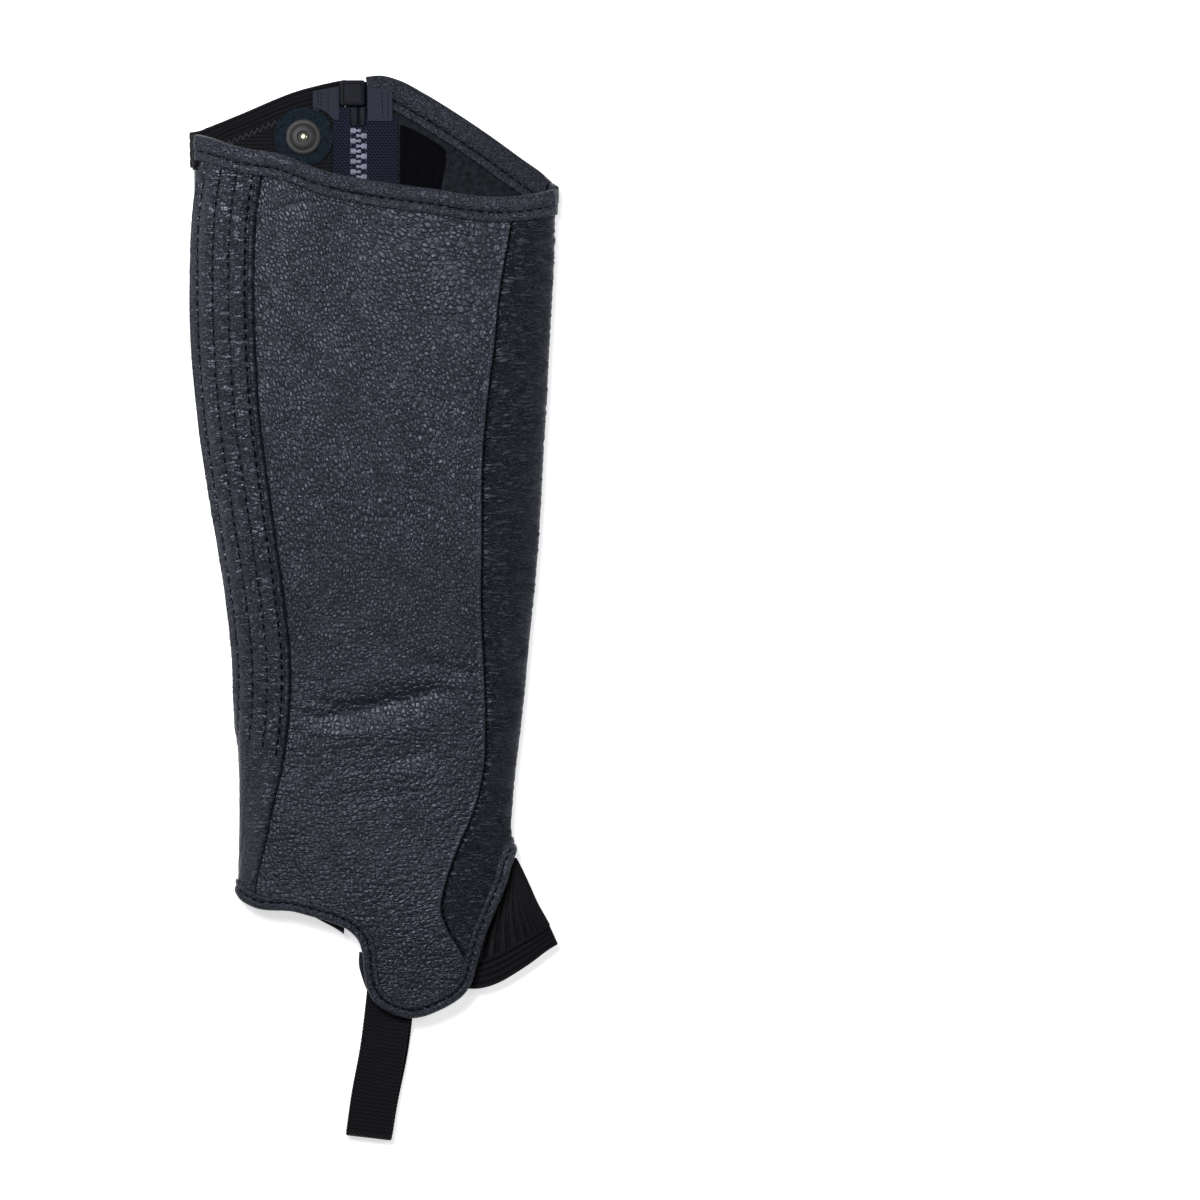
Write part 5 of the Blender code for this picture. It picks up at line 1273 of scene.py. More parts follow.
def build_outer_back(f):
    """Stretch cloth behind the zip: a grid from the hem to the elastic band, ribbed across."""
    _, u, y, _, _ = strip_grid()
    end = LEG.over(u[:, -1], y[:, -1], LEATHER)[:, :2] + [GAP, 0.0]
    zip_side = ZIP_X - OPEN_HALF
    edge_y = np.interp(end[0, 0], *back_hem_edge.T)
    foot = back_hem_edge[(back_hem_edge[:, 0] > end[0, 0]) & (back_hem_edge[:, 0] < zip_side)]
    foot = np.concatenate([[[end[0, 0], edge_y]], foot, [[zip_side, back_hem_edge[-1, 1]]]])
    foot = resample(foot, 44)
    across = np.linspace(end[-1, 0], zip_side, 44)
    head = np.stack([across, lower_top(across) - band_width(across) + 0.5], axis=-1)

    def left(height):
        return np.interp(height, end[:, 1], end[:, 0])

    def right(height):
        return np.full(np.shape(height), zip_side)

    u, y = panel_grid(foot, head, left, right, 260, (-140.0, 120.0), (-40.0, -40.0))
    ribs_at = 0.10 * np.sin(2 * math.pi * y / 3.0) + 0.16 * mottle(u, y, 44, 40.0)
    ribs_at = ribs_at * smooth_step(head[:, 1] - y, 0.5, 3.0)
    thing = shell(
        "zip_side_back_cloth", LEG.below(u, y), LEG.below(u, y, STRETCH + ribs_at), [f["stretch"]], (y, u),
    )
    return lay_sheet(thing, "outer_back_panel")


def build_band(f):
    """Ribbed band round the back of the mouth: turns by ribs, with zigzag stitches along its lower border."""
    reach = (ZIP_X - OPEN_HALF) - LEG.back(260.0) - BACK_RUN
    turn = np.concatenate([
        np.linspace(BAND_START_TURN, 3.0, 30), 3.0 + np.linspace(0, reach / (BACK_RUN * math.pi / 2), 70)[1:],
    ])
    share = np.linspace(0, 1, 12 * BAND_RIBS + 1)[:, None]
    y = np.full((len(share), len(turn)), 245.0)
    for _ in range(ROUNDS):
        x = LEG.point(turn, y)[..., 0]
        top = mouth_y(turn, x)
        y = top - share * band_width(x)
    relief = RIB_RISE * np.abs(np.sin(np.pi * BAND_RIBS * share)) ** 0.6 + 0.03 * mottle(turn * 9, y, 51, 8.0)
    bulge = 2.3 * np.exp(-(((turn - 2.3) / 0.38) ** 2)) * smooth_step(turn, BAND_START_TURN, 2.15)
    outer = LEG.point(turn, y, np.where(turn < 2.7, -0.3 - relief - bulge, 0.0))
    inner = LEG.point(turn, y, np.where(turn < 2.7, BAND_THICK, BAND_THICK + relief))
    outer[..., 2] = np.maximum(outer[..., 2], -0.3)
    thing = shell("mouth_elastic_band", outer, inner, [f["band"]], (share * 14.0 + 0 * turn, turn * 9.4 + 0 * y))
    width = float(band_width(LEG.point(turn, 240.0)[:, 0]).mean()) * MM
    lay_sheet(thing, "top_elastic")
    w = np.arange(-84.0, -24.0, 1.5)
    zig = np.where(np.arange(len(w)) % 2, 1.1, -2.0)
    base = np.stack([w, lower_top(w) - band_width(w) + zig + 0.5, np.full(len(w), BAND_THICK + 0.75)], axis=-1)
    up = np.tile([0.0, 0.0, 1.0], (len(w) - 1, 1))
    points = beads(base[:-1], base[1:], up, 0.3)
    sewn = mesh_piece("band_zigzag", points, thread_faces(len(w) - 1), [f["grey_thread"]], sharp=80.0)
    belong(sewn)
    return thing


# ---- bindings ----

def fold_section(leaf, stitch, inner_leaf, roll=0.28):
    """Section of a folded binding. Columns: outer reach and depth, inner reach and depth, and how far puckers act."""
    face, back, cover = -GAP - BINDING, LEATHER + GAP + BINDING, EDGE_INSET - GAP
    rows = [
        (leaf, -GAP - 0.25, leaf, -GAP, 0.0), (leaf - 0.15, face + 0.3, leaf, -GAP, 0.1),
        (leaf - 0.5, face + 0.02, leaf - 0.5, -GAP, 0.2), ((leaf + stitch) / 2, face, (leaf + stitch) / 2, -GAP, 0.35),
        (stitch + 1.0, face + 0.05, stitch + 1.0, -GAP, 0.5), (stitch + 0.4, face + 0.4, stitch + 0.4, -GAP, 0.3),
        (stitch, face + 0.62, stitch, -GAP, 0.1), (stitch - 0.4, face + 0.4, stitch - 0.4, -GAP, 0.5),
        (stitch - 1.0, face - roll * 0.6, stitch - 1.0, -GAP, 1.0),
        (stitch * 0.62, face - roll, stitch * 0.62, -GAP, 1.0),
        (stitch * 0.38, face - roll * 0.7, stitch * 0.4, -GAP, 1.0),
        (0.75, face + 0.12, cover + 0.1, -GAP, 0.8), (0.22, face + 0.7, cover, -GAP + 0.2, 0.5),
        (0.0, LEATHER * 0.3, cover, LEATHER * 0.3, 0.3), (0.0, LEATHER * 0.7, cover, LEATHER * 0.7, 0.2),
        (0.3, back - 0.6, cover, LEATHER, 0.1), (1.0, back, cover + 0.2, LEATHER + GAP, 0.0),
        (inner_leaf * 0.6, back, inner_leaf * 0.6, LEATHER + GAP, 0.0),
        (inner_leaf, back, inner_leaf, LEATHER + GAP, 0.0),
    ]
    return np.array(rows)


def flush_section(leaf, stitch, roll=0.16):
    """Section of a binding that covers an edge and the inner face, level with the panel underneath."""
    back, cover = LEATHER + GAP + FACING_THICK, EDGE_INSET - GAP
    rows = [
        (leaf, LEATHER + GAP + 0.2, leaf, LEATHER + GAP, 0.0), (leaf - 0.4, back, leaf - 0.4, LEATHER + GAP, 0.2),
        ((leaf + stitch) / 2, back, (leaf + stitch) / 2, LEATHER + GAP, 0.6),
        (stitch + 0.8, back - 0.02, stitch + 0.8, LEATHER + GAP, 0.6),
        (stitch, back - 0.45, stitch, LEATHER + GAP, 0.1),
        (stitch - 0.8, back + roll * 0.5, stitch - 0.8, LEATHER + GAP, 1.0),
        (stitch * 0.6, back + roll, stitch * 0.6, LEATHER + GAP, 1.0), (1.2, back, cover + 0.2, LEATHER + GAP, 0.8),
        (0.3, back - 0.35, cover, LEATHER + GAP, 0.4), (0.0, LEATHER / 2, cover, LEATHER / 2, 0.0),
        (0.2, 0.0, cover, 0.0, 0.0),
    ]
    return np.array(rows)


def build_binding(name, node, line, normals, section, place, finish, seed, pucker, seam, layer_sign=-1.0):
    """A binding: its section carried along its outer line, with puckers as irregular sine ridges across it."""
    run = np.concatenate(([0.0], np.cumsum(np.hypot(*np.diff(line, axis=0).T))))
    weight = section[None, :, 4]
    lean = section[None, :, 0] * 0.25 * np.sin(run / 37.0)[:, None]
    uneven = 0.75 + 0.45 * waves(run, seed + 1, 3, 30.0, 70.0)
    fold = waves(run[:, None] + lean, seed, 5, 2.2, 3.9) * pucker * uneven[:, None]
    outer_at = line[:, None] + section[None, :, 0, None] * normals[:, None]
    inner_at = line[:, None] + section[None, :, 2, None] * normals[:, None]
    lift = np.clip(fold, -pucker * 0.75, pucker * 1.3) * weight
    outer = place(outer_at[..., 0], outer_at[..., 1], section[None, :, 1] + layer_sign * lift)
    inner = place(inner_at[..., 0], inner_at[..., 1], np.broadcast_to(section[None, :, 3], lift.shape))
    around = np.concatenate(([0.0], np.cumsum(np.hypot(*np.diff(section[:, :2], axis=0).T))))
    smooth = 0.55 - 0.3 * weight + 0.0 * run[:, None]
    thing = shell(name, outer, inner, [finish], (run[:, None], around[None, :]), {"smooth": smooth}, sharp=50.0)
    lay_sheet(thing, node)
    inset, depth, pitch = seam
    sewn = line + inset * normals
    return surface_row(place, sewn, depth, pitch)


def build_bindings(f):
    """The edgings, each a section carried along its line, and their stitches."""
    rows = []
    down = np.tile([0.0, -1.0], (len(mouth), 1))
    face = -GAP - BINDING + 0.55
    rows.append(build_binding(
        "mouth_edging", "top_binding", mouth, down, fold_section(TOP_LEAF, TOP_STITCH, INNER_LEAF), LEG.over,
        f["edging"], 61, 0.42, (TOP_STITCH, face, 5.2),
    ))
    rows.append(build_binding(
        "hem_edging", "hem_binding", hem_line, hem_inward, fold_section(HEM_LEAF, HEM_STITCH, HEM_STITCH, 0.34),
        LEG.over, f["edging"], 63, 0.48, (HEM_STITCH, face, 4.4),
    ))
    back = LEATHER + GAP + FACING_THICK
    lower_hem = flush_section(HEM_LEAF, HEM_STITCH)
    facing = build_binding(
        "mouth_facing", "outer_top_binding", outer_mouth, outer_mouth_inward, flush_section(FACING, FACING_STITCH),
        LEG.below, f["facing"], 65, 0.34, (FACING_STITCH, back - 0.4, 5.2), 1.0,
    )
    front = build_binding(
        "lower_hem_front_edging", "outer_hem_front", front_hem, front_hem_inward, lower_hem,
        LEG.below, f["facing"], 67, 0.22, (HEM_STITCH, back - 0.4, 4.4), 1.0,
    )
    behind = build_binding(
        "lower_hem_back_edging", "outer_hem_back", back_hem, back_hem_inward, lower_hem,
        LEG.below, f["facing"], 69, 0.22, (HEM_STITCH, back - 0.4, 4.4), 1.0,
    )
    for row in (facing, front, behind):
        at, normal, pitch = row
        rows.append((at, -normal, pitch))
    sewn = stitches("edging_stitches", rows, f["thread"], 0.36, 0.62)
    belong(sewn)


def build_seam_stitches(f):
    """The stitches that show in the ditch of the shin seam, and along the seam under the leg."""
    heights = np.arange(-170.0, 206.0, 1.0)
    ditch = np.stack([shin_seam(heights), heights], axis=-1)
    under_y = np.arange(-150.0, 230.0, 1.0)
    under = np.stack([under_seam(under_y), under_y], axis=-1)
    rows = [surface_row(LEG.over, ditch, 0.55, 3.2), surface_row(LEG.over, under, 0.6, 3.6)]
    sewn = stitches("seam_stitches", rows, f["thread"], 0.55, 0.6)
    belong(sewn)


# ---- gusset and strap ----

FAN_SEEN = ((46.0, -188.4), (60.0, -183.4), (72.0, -177.4), (84.0, -170.8), (93.5, -165.4), (97.0, -164.6))
HEM_SEEN = (
    (46.0, -199.6), (56.0, -199.4), (65.4, -196.5), (74.0, -191.6), (82.2, -186.2), (91.0, -179.6), (97.5, -175.6),
)


def seen_border(table, position):
    """Height of a border of the fan at shares of its leaf, on a line given as seen from above."""
    line = curve(*np.array(table).T)
    y = line(90.0 - 40.0 * position)
    for _ in range(30):
        y = line(FAN.point(position * fan_turn(y), y)[..., 0])
    return y


def fan_turn(y):
    """Turn at which the fan's leaf goes under the shin panel, at heights y."""
    return FAN.turn_at(curve(*np.array(FAN_SIDE).T)(y), y)


def fan_grid(shares, low, high, rows):
    """Grid between two border lines of the fan, which are the same on both of its leaves."""
    position = np.abs(shares)
    v = np.linspace(0, 1, rows)[:, None]
    y = low(position) * (1 - v) + high(position) * v
    return shares * fan_turn(y), y


def mirrored(turn, y, depth):
    """The upper leaf has a positive turn. The lower leaf mirrors it under the fold."""
    upper = FAN.point(np.maximum(turn, 0.0), y, depth)
    lower = FAN.point(np.maximum(-turn, 0.0), y, depth)
    crown = FAN.crown(y)
    tip_z = GUSSET_FLOOR + (crown - GUSSET_FLOOR) * SHIN_TIP
    share = (tip_z - GUSSET_FLOOR - depth) / (crown - depth - tip_z)
    lower[..., 2] = tip_z - (lower[..., 2] - tip_z) * share
    return np.where(turn[..., None] < 0, lower, upper)


def build_gusset(f):
    """Pleats as rounded ridges with narrow valleys that fan out from the ankle, and their elastic hem with ribs."""
    per_pleat = 14
    shares = np.linspace(-1, 1, PLEATS * per_pleat + 1)

    def low(position):
        return seen_border(FAN_SEEN, position)

    def high(position):
        return seen_border(HEM_SEEN, position)

    rows = 40
    turn, y = fan_grid(shares, low, lambda p: GUSSET_TOP - 1.0 * p, rows)
    v = np.linspace(0, 1, rows)[:, None]
    sway = 0.018 * mottle(shares * 60.0, y, 71, 30.0) * (1 - v * 0.6)
    wave = 0.5 - 0.5 * np.cos(PLEATS * math.pi * (shares[None, :] + 1 + sway))
    ridge = (2 * wave ** 0.5 - 1) * PLEAT_RISE * (1 - 0.6 * v)
    ridge = ridge + 0.16 * waves(shares * 130.0 + 3 * mottle(shares * 60, y, 72, 24.0), 73, 4, 2.2, 4.6) * (1 - 0.5 * v)
    fade = smooth_step(np.abs(shares), 0.01, 0.08)
    wide = 62.0 + 0.0 * y
    thing = shell(
        "pleated_gusset", mirrored(turn, y, -ridge * fade), mirrored(turn, y, GUSSET + 0.0 * ridge), [f["fan"]],
        (shares[None, :] * wide, y), sharp=60.0,
    )
    lay_sheet(thing, "gusset")
    shares = np.concatenate([np.linspace(-1, -0.1, 60), np.linspace(-0.1, 0.1, 15)[1:-1], np.linspace(0.1, 1, 60)])
    rows = 10 * BAND_RIBS + 1
    turn, y = fan_grid(shares, high, lambda p: low(p) + 0.4, rows)
    across = np.linspace(0, 1, rows)[:, None]
    relief = RIB_RISE * np.abs(np.sin(np.pi * (BAND_RIBS + 1) * across)) ** 0.6
    relief = (relief + 0.05 * waves(shares * 62.0, 75, 4, 1.6, 3.2)) * smooth_step(np.abs(shares), 0.0, 0.1)
    thing = shell(
        "gusset_elastic_hem", mirrored(turn, y, -relief), mirrored(turn, y, GUSSET + 0.0 * relief), [f["band"]],
        (across * 12.0 + 0.0 * y, shares[None, :] * 62.0 + 0.0 * y),
    )
    lay_sheet(thing, "gusset_elastic")
    across_at = np.concatenate([shares[shares > 0.06]])
    y_line = low(np.abs(across_at)) - 2 * GAP - 1.2
    at = mirrored(across_at * fan_turn(y_line), y_line, np.full(len(y_line), -RIB_RISE))
    up = np.tile([0.05, 0.0, 1.0], (len(at), 1))
    sewn = stitches("gusset_stitches", [(at, up, 3.2)], f["thread"], 0.28, 0.6)
    belong(sewn)


def build_strap(f):
    """Elastic strap: a flat section with soft selvedges carried along one line that turns back on itself."""
    centre_x = by_y(STRAP_LINE, 0, 1)
    end_y = STRAP_LINE[-1][1] + STRAP_END
    half = STRAP / 2
    over_y = np.linspace(-196.0, end_y, 90)
    over_z = curve([end_y, -225.0, -215.0, -196.0], [2 * STRAP_END - half, 6.5, 6.5, 6.9])(over_y)
    angle = np.linspace(90, -90, 26)[1:-1] * math.pi / 180
    end_z = STRAP_END + (STRAP_END - half) * np.sin(angle)
    round_y = end_y - (STRAP_END - half) * np.cos(angle)
    under_y = np.linspace(end_y, -198.0, 90)
    over_tab = smooth_step(under_y, -228.0, -213.0) * (LEATHER + 2 * GAP + BINDING + 0.4)
    rise = over_tab + slider_bump(centre_x(under_y), under_y)
    line_y = np.concatenate([over_y, round_y, under_y])
    line_z = np.concatenate([over_z, end_z, half + rise])
    under_share = np.concatenate([
        np.zeros(len(over_y)), np.linspace(0, 0.3, len(round_y)), np.linspace(0.3, 1, len(under_y)),
    ])
    line_x = centre_x(line_y) + STRAP_SHIFT * smooth_step(under_share, 0.0, 0.8)
    along = np.stack([np.gradient(line_x), np.gradient(line_y), np.gradient(line_z)], axis=-1)
    lean = np.stack([centre_x(line_y + 1) - centre_x(line_y - 1), np.full(line_y.shape, 2.0)], axis=-1)
    lean /= np.linalg.norm(lean, axis=1, keepdims=True)
    across = np.stack([lean[:, 1], -lean[:, 0], np.zeros(line_y.shape)], axis=-1)
    out = np.cross(across, along)
    out /= np.linalg.norm(out, axis=1, keepdims=True)
    centre = np.stack([line_x, line_y, line_z], axis=-1)
    run = np.concatenate(([0.0], np.cumsum(np.linalg.norm(np.diff(centre, axis=0), axis=1))))
    s = np.concatenate([[-1.0, -0.985, -0.95], np.linspace(-0.9, 0.9, 25), [0.95, 0.985, 1.0]])
    edge = 1 - 0.55 * np.clip((np.abs(s) - 0.94) / 0.06, 0, 1) ** 2
    scallop = 0.10 * np.sin(2 * math.pi * run / 2.1)[:, None] * np.sign(s) * (np.abs(s) > 0.97)
    place = s[None, :] * STRAP_WIDTH / 2 + scallop
    body = centre[:, None] + place[..., None] * across[:, None]
    thick = (half * edge)[None, :, None] * out[:, None]
    thing = shell("foot_elastic", body + thick, body - thick, [f["strap"]], (place, run[:, None]), sharp=60.0)
    lay_sheet(thing, "foot_strap")


# ---- zip ----

TOOTH = np.array([
    (-4.4, -1.35), (-2.1, -1.5), (-1.75, -1.4), (-1.3, -0.6), (-0.45, -0.55), (-0.05, -0.95), (1.0, -1.05),
    (1.35, -0.7),
    (1.35, 0.7), (1.0, 1.05), (-0.05, 0.95), (-0.45, 0.55), (-1.3, 0.6), (-1.75, 1.4), (-2.1, 1.5), (-4.4, 1.35),
])


def build_tapes(f):
    """Tapes: the lower layer's surface at the tape's depth, with a raised cord beside the teeth."""
    half, low, high = CHAIN_WIDTH / 2, CHAIN_MIDDLE - TAPE / 2, CHAIN_MIDDLE + TAPE / 2
    spans = (
        ("zip_tape_back_cloth", "zip_tape_back", TAPE_BACK, ZIP_X - half + 0.9, BOX_LOW_Y - GAP, -159.4),
        ("zip_tape_front_cloth", "zip_tape_front", ZIP_X + half - 0.9, TAPE_FRONT, 258.0, -163.4),
    )
    rows = []
    for name, node, left, right, top, bottom in spans:
        y = np.linspace(bottom, top, 260)[:, None]
        reach = 3.6 * smooth_step(y, -140.0, -120.0)
        if left == TAPE_BACK:
            x = left + (right + reach - left) * np.linspace(0, 1, 26)
        else:
            x = left - reach + (right - left + reach) * np.linspace(0, 1, 26)
        inner_edge = right if left == TAPE_BACK else left
        cord = 0.28 * np.exp(-((np.abs(x - inner_edge) / 1.1) ** 2))
        soft = 0.05 * mottle(x * 4, y, 81, 14.0)
        face, back = LEG.below(x, y, high + cord + soft), LEG.below(x, y, low - cord * 0.6 + 0 * y)
        thing = shell(name, face, back, [f["tape"]], (x, y + 0 * x))
        lay_sheet(thing, node)
        heights = np.arange(bottom + 4.0, 252.0, 1.0)
        sew_x = inner_edge + (0.5 if left != TAPE_BACK else -0.5)
        at = LEG.below(np.full(heights.shape, sew_x), heights, high + 0.26)
        rows.append((at, np.tile([0.0, 0.0, 1.0], (len(at), 1)), 1.9))
    sewn = stitches("tape_stitches", rows, f["pale_thread"], 0.24, 0.5)
    belong(sewn)


def build_teeth(f):
    """Interlocked moulded teeth: one keyhole outline, raised with a drawn-in rim, set alternately from each side."""
    heights = np.arange(ZIP_TOP - 2.2, SLIDER_Y - 2.0, -TOOTH_PITCH / 2)
    outline = rounded(TOOTH, 0.3, 2)
    rings = []
    top = CHAIN_THICK / 2
    for z, draw in ((-top, 0.25), (-top + 0.35, 0.0), (top - 0.35, 0.0), (top, 0.28)):
        middle = outline.mean(axis=0)
        inset = outline - draw * np.sign(outline - middle) * np.minimum(1.0, np.abs(outline - middle))
        rings.append(np.concatenate([inset, np.full((len(outline), 1), z)], axis=1))
    one = np.array(rings)
    steps = len(outline)
    faces = capped_faces(len(one), steps)
    if volume(one.reshape(-1, 3), faces) < 0:
        faces = faces[:, ::-1]
    count = len(heights)
    side = np.where(np.arange(count) % 2, 1.0, -1.0)
    flat = np.tile(one.reshape(-1, 3), (count, 1, 1))
    flat[..., 0] = flat[..., 0] * -side[:, None] + ZIP_X
    flat[..., 1] = flat[..., 1] + heights[:, None]
    flat[..., 2] = flat[..., 2] + (CHAIN_MIDDLE + slider_bump(ZIP_X, heights))[:, None]
    turned = np.where(side[:, None, None] > 0, faces[None, :, ::-1], faces[None])
    every = (turned + (np.arange(count) * 4 * steps)[:, None, None]).reshape(-1, 4)
    thing = mesh_piece("zip_teeth", flat.reshape(-1, 3), every, [f["teeth"]], sharp=50.0)
    belong(thing, "zip_chain")


def build_zip_ends(f):
    """Box and pins as rounded blocks from a drawn-in outline; the box has a bare face with a shallow tray."""
    pin_low, pin_high = CHAIN_MIDDLE - 1.3, CHAIN_MIDDLE + 1.3
    half = CHAIN_WIDTH / 2
    for name, node, low_x, high_x in (
        ("end_pin_back", "zip_pin_back", ZIP_X - half, ZIP_X - 0.3),
        ("end_pin_front", "zip_pin_front", ZIP_X + 0.3, ZIP_X + half - 0.6),
    ):
        low_y, high_y = ZIP_TOP + GAP, BOX_LOW_Y - GAP
        outline = rounded([(low_x, low_y), (high_x, low_y), (high_x, high_y), (low_x, high_y)], 0.8)
        thing = extrude(name, outline, pin_low, pin_high, [f["hard"]], 0.35)
        belong(thing, node)
    base = LEATHER + GAP
    corners = [(-18.1, BOX_LOW_Y), (-5.0, BOX_LOW_Y), (-5.0, BOX_HIGH_Y), (-18.1, BOX_HIGH_Y)]
    outline = rounded(corners, 1.5, 6)
    middle = outline.mean(axis=0)
    rings = []
    for z, draw in (
        (base, 0.5), (base + 0.5, 0.0), (base + BOX_THICK - 0.9, 0.0), (base + BOX_THICK - 0.25, 0.25),
        (base + BOX_THICK, 0.85), (base + BOX_THICK, 1.5), (base + BOX_THICK - 0.35, 1.9),
    ):
        size = np.abs(outline - middle).max(axis=0)
        inset = middle + (outline - middle) * (1 - draw / size)
        rings.append(np.concatenate([inset, np.full((len(outline), 1), z)], axis=1))
    thing = carry("zip_box_moulding", np.array(rings), [f["hard"]], sharp=35.0)
    belong(thing, "zip_box")
    for node in ("zip_slider", "zip_pull"):
        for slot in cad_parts[node].material_slots:
            slot.material = f["slider"]


def flat_patch(name, node, outline, low, high, finish, rows=(), thread=None, seed=1, radius=0.8, wear=0.0):
    """A thin patch: its outline in rings that shrink to the middle, so that its face can wave a little."""
    outline = np.asarray(outline, float)
    centre = outline.mean(axis=0)
    shares = np.array([1.0, 1.0, 0.985, 0.94, 0.85, 0.7, 0.5, 0.25, 0.02])
    upper = []
    for k, share in enumerate(shares):
        flat = centre + (outline - centre) * share
        if wear and k < 3:
            frayed = (waves(outline[:, 1] * 3, seed, 3, 1.5, 4), waves(outline[:, 0] * 3, seed + 1, 3, 1.5, 4))
            flat = flat + wear * np.stack(frayed, -1)
        z = np.full(len(flat), high - (0.3 if k == 0 else 0.0 if k > 2 else 0.05)) if k else np.full(len(flat), low)
        z = z + (0.07 * mottle(flat[:, 0] * 3, flat[:, 1] * 3, seed, 14.0) if k > 2 else 0.0)
        upper.append(np.concatenate([flat, z[:, None]], axis=1))
    base = np.concatenate([centre + (outline - centre) * 0.02, np.full((len(outline), 1), low)], axis=1)
    rings = np.array([base, *upper])
    maps = {"pattern": rings.reshape(-1, 3)[:, :2] * MM}
    thing = carry(name, rings, [finish], maps=maps, sharp=40.0)
    lay_sheet(thing, node)
    if rows:
        lines = []
        for (x0, y0), (x1, y1) in rows:
            t = np.linspace(0, 1, 30)[:, None]
            at = np.array([[x0, y0, high + 0.05]]) * (1 - t) + np.array([[x1, y1, high + 0.05]]) * t
            lines.append((at, np.tile([0.0, 0.0, 1.0], (30, 1)), 2.0))
        sewn = stitches(name + "_stitches", lines, thread, 0.22, 0.65)
        belong(sewn)
    return thing


def build_patches(f):
    """Satin patches, guard cloth and felt disc, each from an outline as seen."""
    low = CHAIN_MIDDLE + TAPE / 2 + GAP
    back = rounded([
        (-32.3, 271.0), (-18.5, 273.6), (-18.5, 256.0), (-21.0, 256.0), (-24.6, 259.6), (-28.4, 261.9), (-32.3, 262.8),
    ], 0.6, 6)
    flat_patch(
        "satin_patch_back", "zip_patch_back", even_count(back), low, low + PATCH, f["satin"],
        (((-29.6, 262.6), (-29.6, 271.0)), ((-27.9, 262.2), (-27.9, 271.3)), ((-24.3, 260.0), (-24.3, 272.0))),
        f["thread"], 91, wear=0.1,
    )
    front_low = LEATHER + 2 * GAP + FACING_THICK + 0.15
    front = rounded([(-3.6, 273.0), (9.4, 271.4), (9.4, 255.4), (-3.6, 255.4)], 0.5, 8)
    flat_patch(
        "satin_patch_front", "zip_patch_front", even_count(front), front_low, front_low + PATCH, f["satin"],
        (((4.4, 256.2), (4.0, 271.8)), ((7.1, 256.2), (7.0, 271.2))), f["thread"], 93, wear=0.1,
    )
    base = LEATHER + GAP
    under = rounded([(-15.2, 256.0), (-1.3, 256.0), (-1.3, 276.4), (-15.2, 275.8)], 0.5, 6)
    flat_patch("tape_end_under_box", None, even_count(under), 1.0, 1.7, f["tape"], seed=99)
    guard = rounded([
        (13.4, 254.0), (22.0, 250.4), (33.6, 243.6), (37.2, 240.6), (37.5, 233.5), (33.7, 216.0), (13.4, 212.0),
    ], 1.8, 7)
    flat_patch("guard_cloth", "guard_patch", even_count(guard), base, base + PATCH, f["guard"], seed=95)
    ring = np.linspace(0, 2 * math.pi, 97)[:-1]
    disc = np.stack([SNAP_X + SNAP_PATCH_RADIUS * np.cos(ring), SNAP_Y + SNAP_PATCH_RADIUS * np.sin(ring)], axis=-1)
    flat_patch("snap_felt", "snap_patch", disc, base, base + 1.0, f["patch"], seed=97)


def lathe(name, profile, x, y, base, finish, steps=72, **more):
    """A profile of radius and height turned about an upright axis, closed by a small flat at the middle."""
    a = np.arange(steps) * 2 * math.pi / steps
    r, z = np.array(profile).T
    points = np.stack([
        x + r[:, None] * np.cos(a), y + r[:, None] * np.sin(a), base + np.repeat(z[:, None], steps, axis=1),
    ], axis=-1)
    return carry(name, points, [finish], **more)


def build_snap(f):
    """Turned ring with stepped grooves, and the domed eye in its hole."""
    base = LEATHER + 1.0 + 2 * GAP
    ring = lathe("snap_ring_turned", (
        (2.2, 0.0), (9.0, 0.0), (9.2, 0.2), (9.2, 0.55), (9.0, 0.8), (8.5, 0.98), (7.6, 1.12), (7.2, 1.05), (7.0, 1.2),
        (6.7, 1.32), (6.45, 1.15), (6.3, 1.08), (6.1, 1.25), (5.6, 1.5), (4.6, 1.66), (3.7, 1.78), (3.2, 1.74),
        (2.95, 1.5), (2.85, 0.9), (2.7, 0.55), (0.15, 0.5),
    ), SNAP_X, SNAP_Y, base, f["metal"], sharp=28.0)
    belong(ring, "snap_ring")
    eye = lathe("snap_eye", (
        (0.1, 0.45), (1.9, 0.45), (2.0, 0.6), (1.75, 0.95), (1.3, 1.15), (0.7, 1.25), (0.08, 1.27),
    ), SNAP_X + 0.25, SNAP_Y, base, f["brass"], 40, sharp=60.0)
    belong(eye)


# ---- stage ----

CAMERA_X, CAMERA_Y, CAMERA_HEIGHT = 118.4, 4.1, 3000.0
VIEW_WIDTH = 628.0
SUBJECT_Z = 12.0
# Lights in metres: name, place, target, side, share of the power, colour.
LIGHTS = (
    ("key", (-0.3, 0.48, 1.1), (0.0, 0.1, 0.0), 0.5, 1.0, (0.97, 0.98, 1.0)),
    ("fill", (1.1, 0.3, 1.0), (0.1, 0.1, 0.0), 0.5, 0.3, (0.95, 0.97, 1.0)),
)
FLOOR_Z = -0.4
FLOOR_GLOW = 0.6


def area_light(name, place, target, side, power, colour):
    """A soft square light at a place, aimed at a target."""
    lamp = bpy.data.lights.new(name, "AREA")
    lamp.shape = "SQUARE"
    lamp.size = side
    lamp.energy = power
    lamp.color = colour
    thing = bpy.data.objects.new(name, lamp)
    bpy.context.scene.collection.objects.link(thing)
    thing.location = place
    thing.rotation_euler = (Vector(target) - Vector(place)).to_track_quat("-Z", "Y").to_euler()


